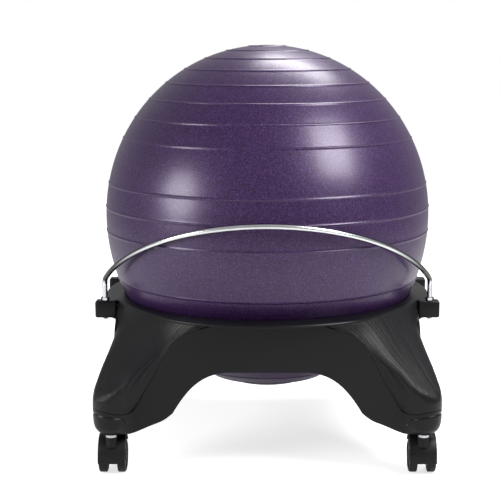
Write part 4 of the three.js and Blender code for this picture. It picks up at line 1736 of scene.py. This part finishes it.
class CHAIR_OT_stage(bpy.types.Operator):
    """Make the camera, the floor and the studio light"""

    bl_idname = "chair.make_stage"
    bl_label = "Stage"

    def execute(self, context):
        scene = context.scene
        self.set_camera(scene)
        half = 9
        corners = [(-half, -half, 0), (half, -half, 0), (half, half, 0), (-half, half, 0)]
        floor = piece_of("floor", corners, [(0, 1, 2, 3)])
        floor.data.materials.append(self.floor_paint())
        for name, (shape, place, aim, size, roll, power) in LAMPS.items():
            lamp = bpy.data.lights.new(name, "AREA")
            lamp.shape = shape
            lamp.size, lamp.size_y = size
            lamp.energy = power
            holder = linked(name, lamp)
            holder.location = place
            heading = Vector(aim) - Vector(place)
            turn = Quaternion((0, 0, 1), math.radians(roll))
            holder.rotation_euler = (heading.to_track_quat("-Z", "Y") @ turn).to_euler()
        self.light_world(scene)
        return {"FINISHED"}

    def set_camera(self, scene):
        stage = look("stage")
        tilt, distance = stage.camera_angle, stage.camera_distance
        data = bpy.data.cameras.new("camera")
        data.lens = 90
        data.sensor_width = 36
        data.shift_x = -0.0348
        data.shift_y = 0.01
        camera = linked("camera", data)
        camera.location = (0, -distance * math.cos(tilt), stage.aim_height + distance * math.sin(tilt))
        camera.rotation_euler = (math.pi / 2 - tilt, 0, 0)
        scene.camera = camera
        scene.view_settings.view_transform = "Standard"

    def floor_paint(self):
        """A pale floor that still takes shadows; the camera sees it glow, more so farther out."""
        material = bpy.data.materials.new("floor_paint")
        wires = cleared(material)
        place = wires.add("ShaderNodeTexCoord").outputs["Object"]
        reach = wires.add("ShaderNodeVectorMath", {0: place}, operation="LENGTH").outputs["Value"]
        white = wires.add(
            "ShaderNodeMapRange",
            {"Value": reach, "From Min": 0.4, "From Max": 2.2, "To Min": 0.72, "To Max": 0.83},
        )
        strength = wires.math("MULTIPLY", self.seen_directly(wires), white.outputs[0])
        diffuse = wires.add("ShaderNodeBsdfDiffuse", {"Color": look("stage").floor_colour})
        glow = wires.add("ShaderNodeEmission", {"Color": (1, 1, 1, 1), "Strength": strength})
        both = wires.add("ShaderNodeAddShader", {0: diffuse.outputs[0], 1: glow.outputs[0]})
        wires.add("ShaderNodeOutputMaterial", {"Surface": both.outputs[0]})
        return material

    def seen_directly(self, wires):
        """1 for what the camera sees, less in a reflection, and 0 for light that falls on the chair."""
        rays = wires.add("ShaderNodeLightPath").outputs
        mirrored = wires.math("MULTIPLY", rays["Is Glossy Ray"], look("stage").mirrored_white)
        seen = wires.math("ADD", rays["Is Camera Ray"], mirrored)
        return wires.math("MINIMUM", wires.math("ADD", seen, rays["Is Transmission Ray"]), 1.0)

    def light_world(self, scene):
        scene.world = bpy.data.worlds.new("studio")
        wires = cleared(scene.world)
        soft = wires.add("ShaderNodeBackground", {"Color": (1, 1, 1, 1), "Strength": 0.22})
        white = wires.add("ShaderNodeBackground", {"Color": (1, 1, 1, 1), "Strength": 1.0})
        mixed = wires.add(
            "ShaderNodeMixShader",
            {"Fac": self.seen_directly(wires), 1: soft.outputs[0], 2: white.outputs[0]},
        )
        wires.add("ShaderNodeOutputWorld", {"Surface": mixed.outputs[0]})


OPERATORS = (
    CHAIR_OT_stage,
    CHAIR_OT_ball,
    CHAIR_OT_seat_ring,
    CHAIR_OT_aprons,
    CHAIR_OT_leg_covers,
    CHAIR_OT_feet,
    CHAIR_OT_support_bar,
    CHAIR_OT_fixings,
    CHAIR_OT_castors,
)


class CHAIR_PT_panel(bpy.types.Panel):
    """Lists the chair's pieces and sizes"""

    bl_idname = "CHAIR_PT_panel"
    bl_label = "Balance Ball Chair"
    bl_space_type = "VIEW_3D"
    bl_region_type = "UI"
    bl_category = "Ball Chair"

    def draw(self, context):
        layout = self.layout
        for operator in OPERATORS:
            layout.operator(operator.bl_idname)
        for name, group in LOOKS.items():
            box = layout.box()
            box.label(text=name.capitalize())
            for key in group.__annotations__:
                box.prop(look(name), key)


CLASSES = (*LOOKS.values(), *OPERATORS, CHAIR_PT_panel)


def register():
    for made in CLASSES:
        bpy.utils.register_class(made)
    for name, group in LOOKS.items():
        setattr(bpy.types.Scene, f"chair_{name}", PointerProperty(type=group))


def unregister():
    for name in LOOKS:
        delattr(bpy.types.Scene, f"chair_{name}")
    for made in reversed(CLASSES):
        bpy.utils.unregister_class(made)


def main():
    register()
    bpy.ops.chair.make_stage()
    bpy.ops.chair.make_ball()
    bpy.ops.chair.make_seat_ring()
    bpy.ops.chair.make_aprons()
    bpy.ops.chair.make_leg_covers()
    bpy.ops.chair.make_feet()
    bpy.ops.chair.make_support_bar()
    bpy.ops.chair.make_fixings()
    bpy.ops.chair.make_castors()


if __name__ == "__main__":
    main()
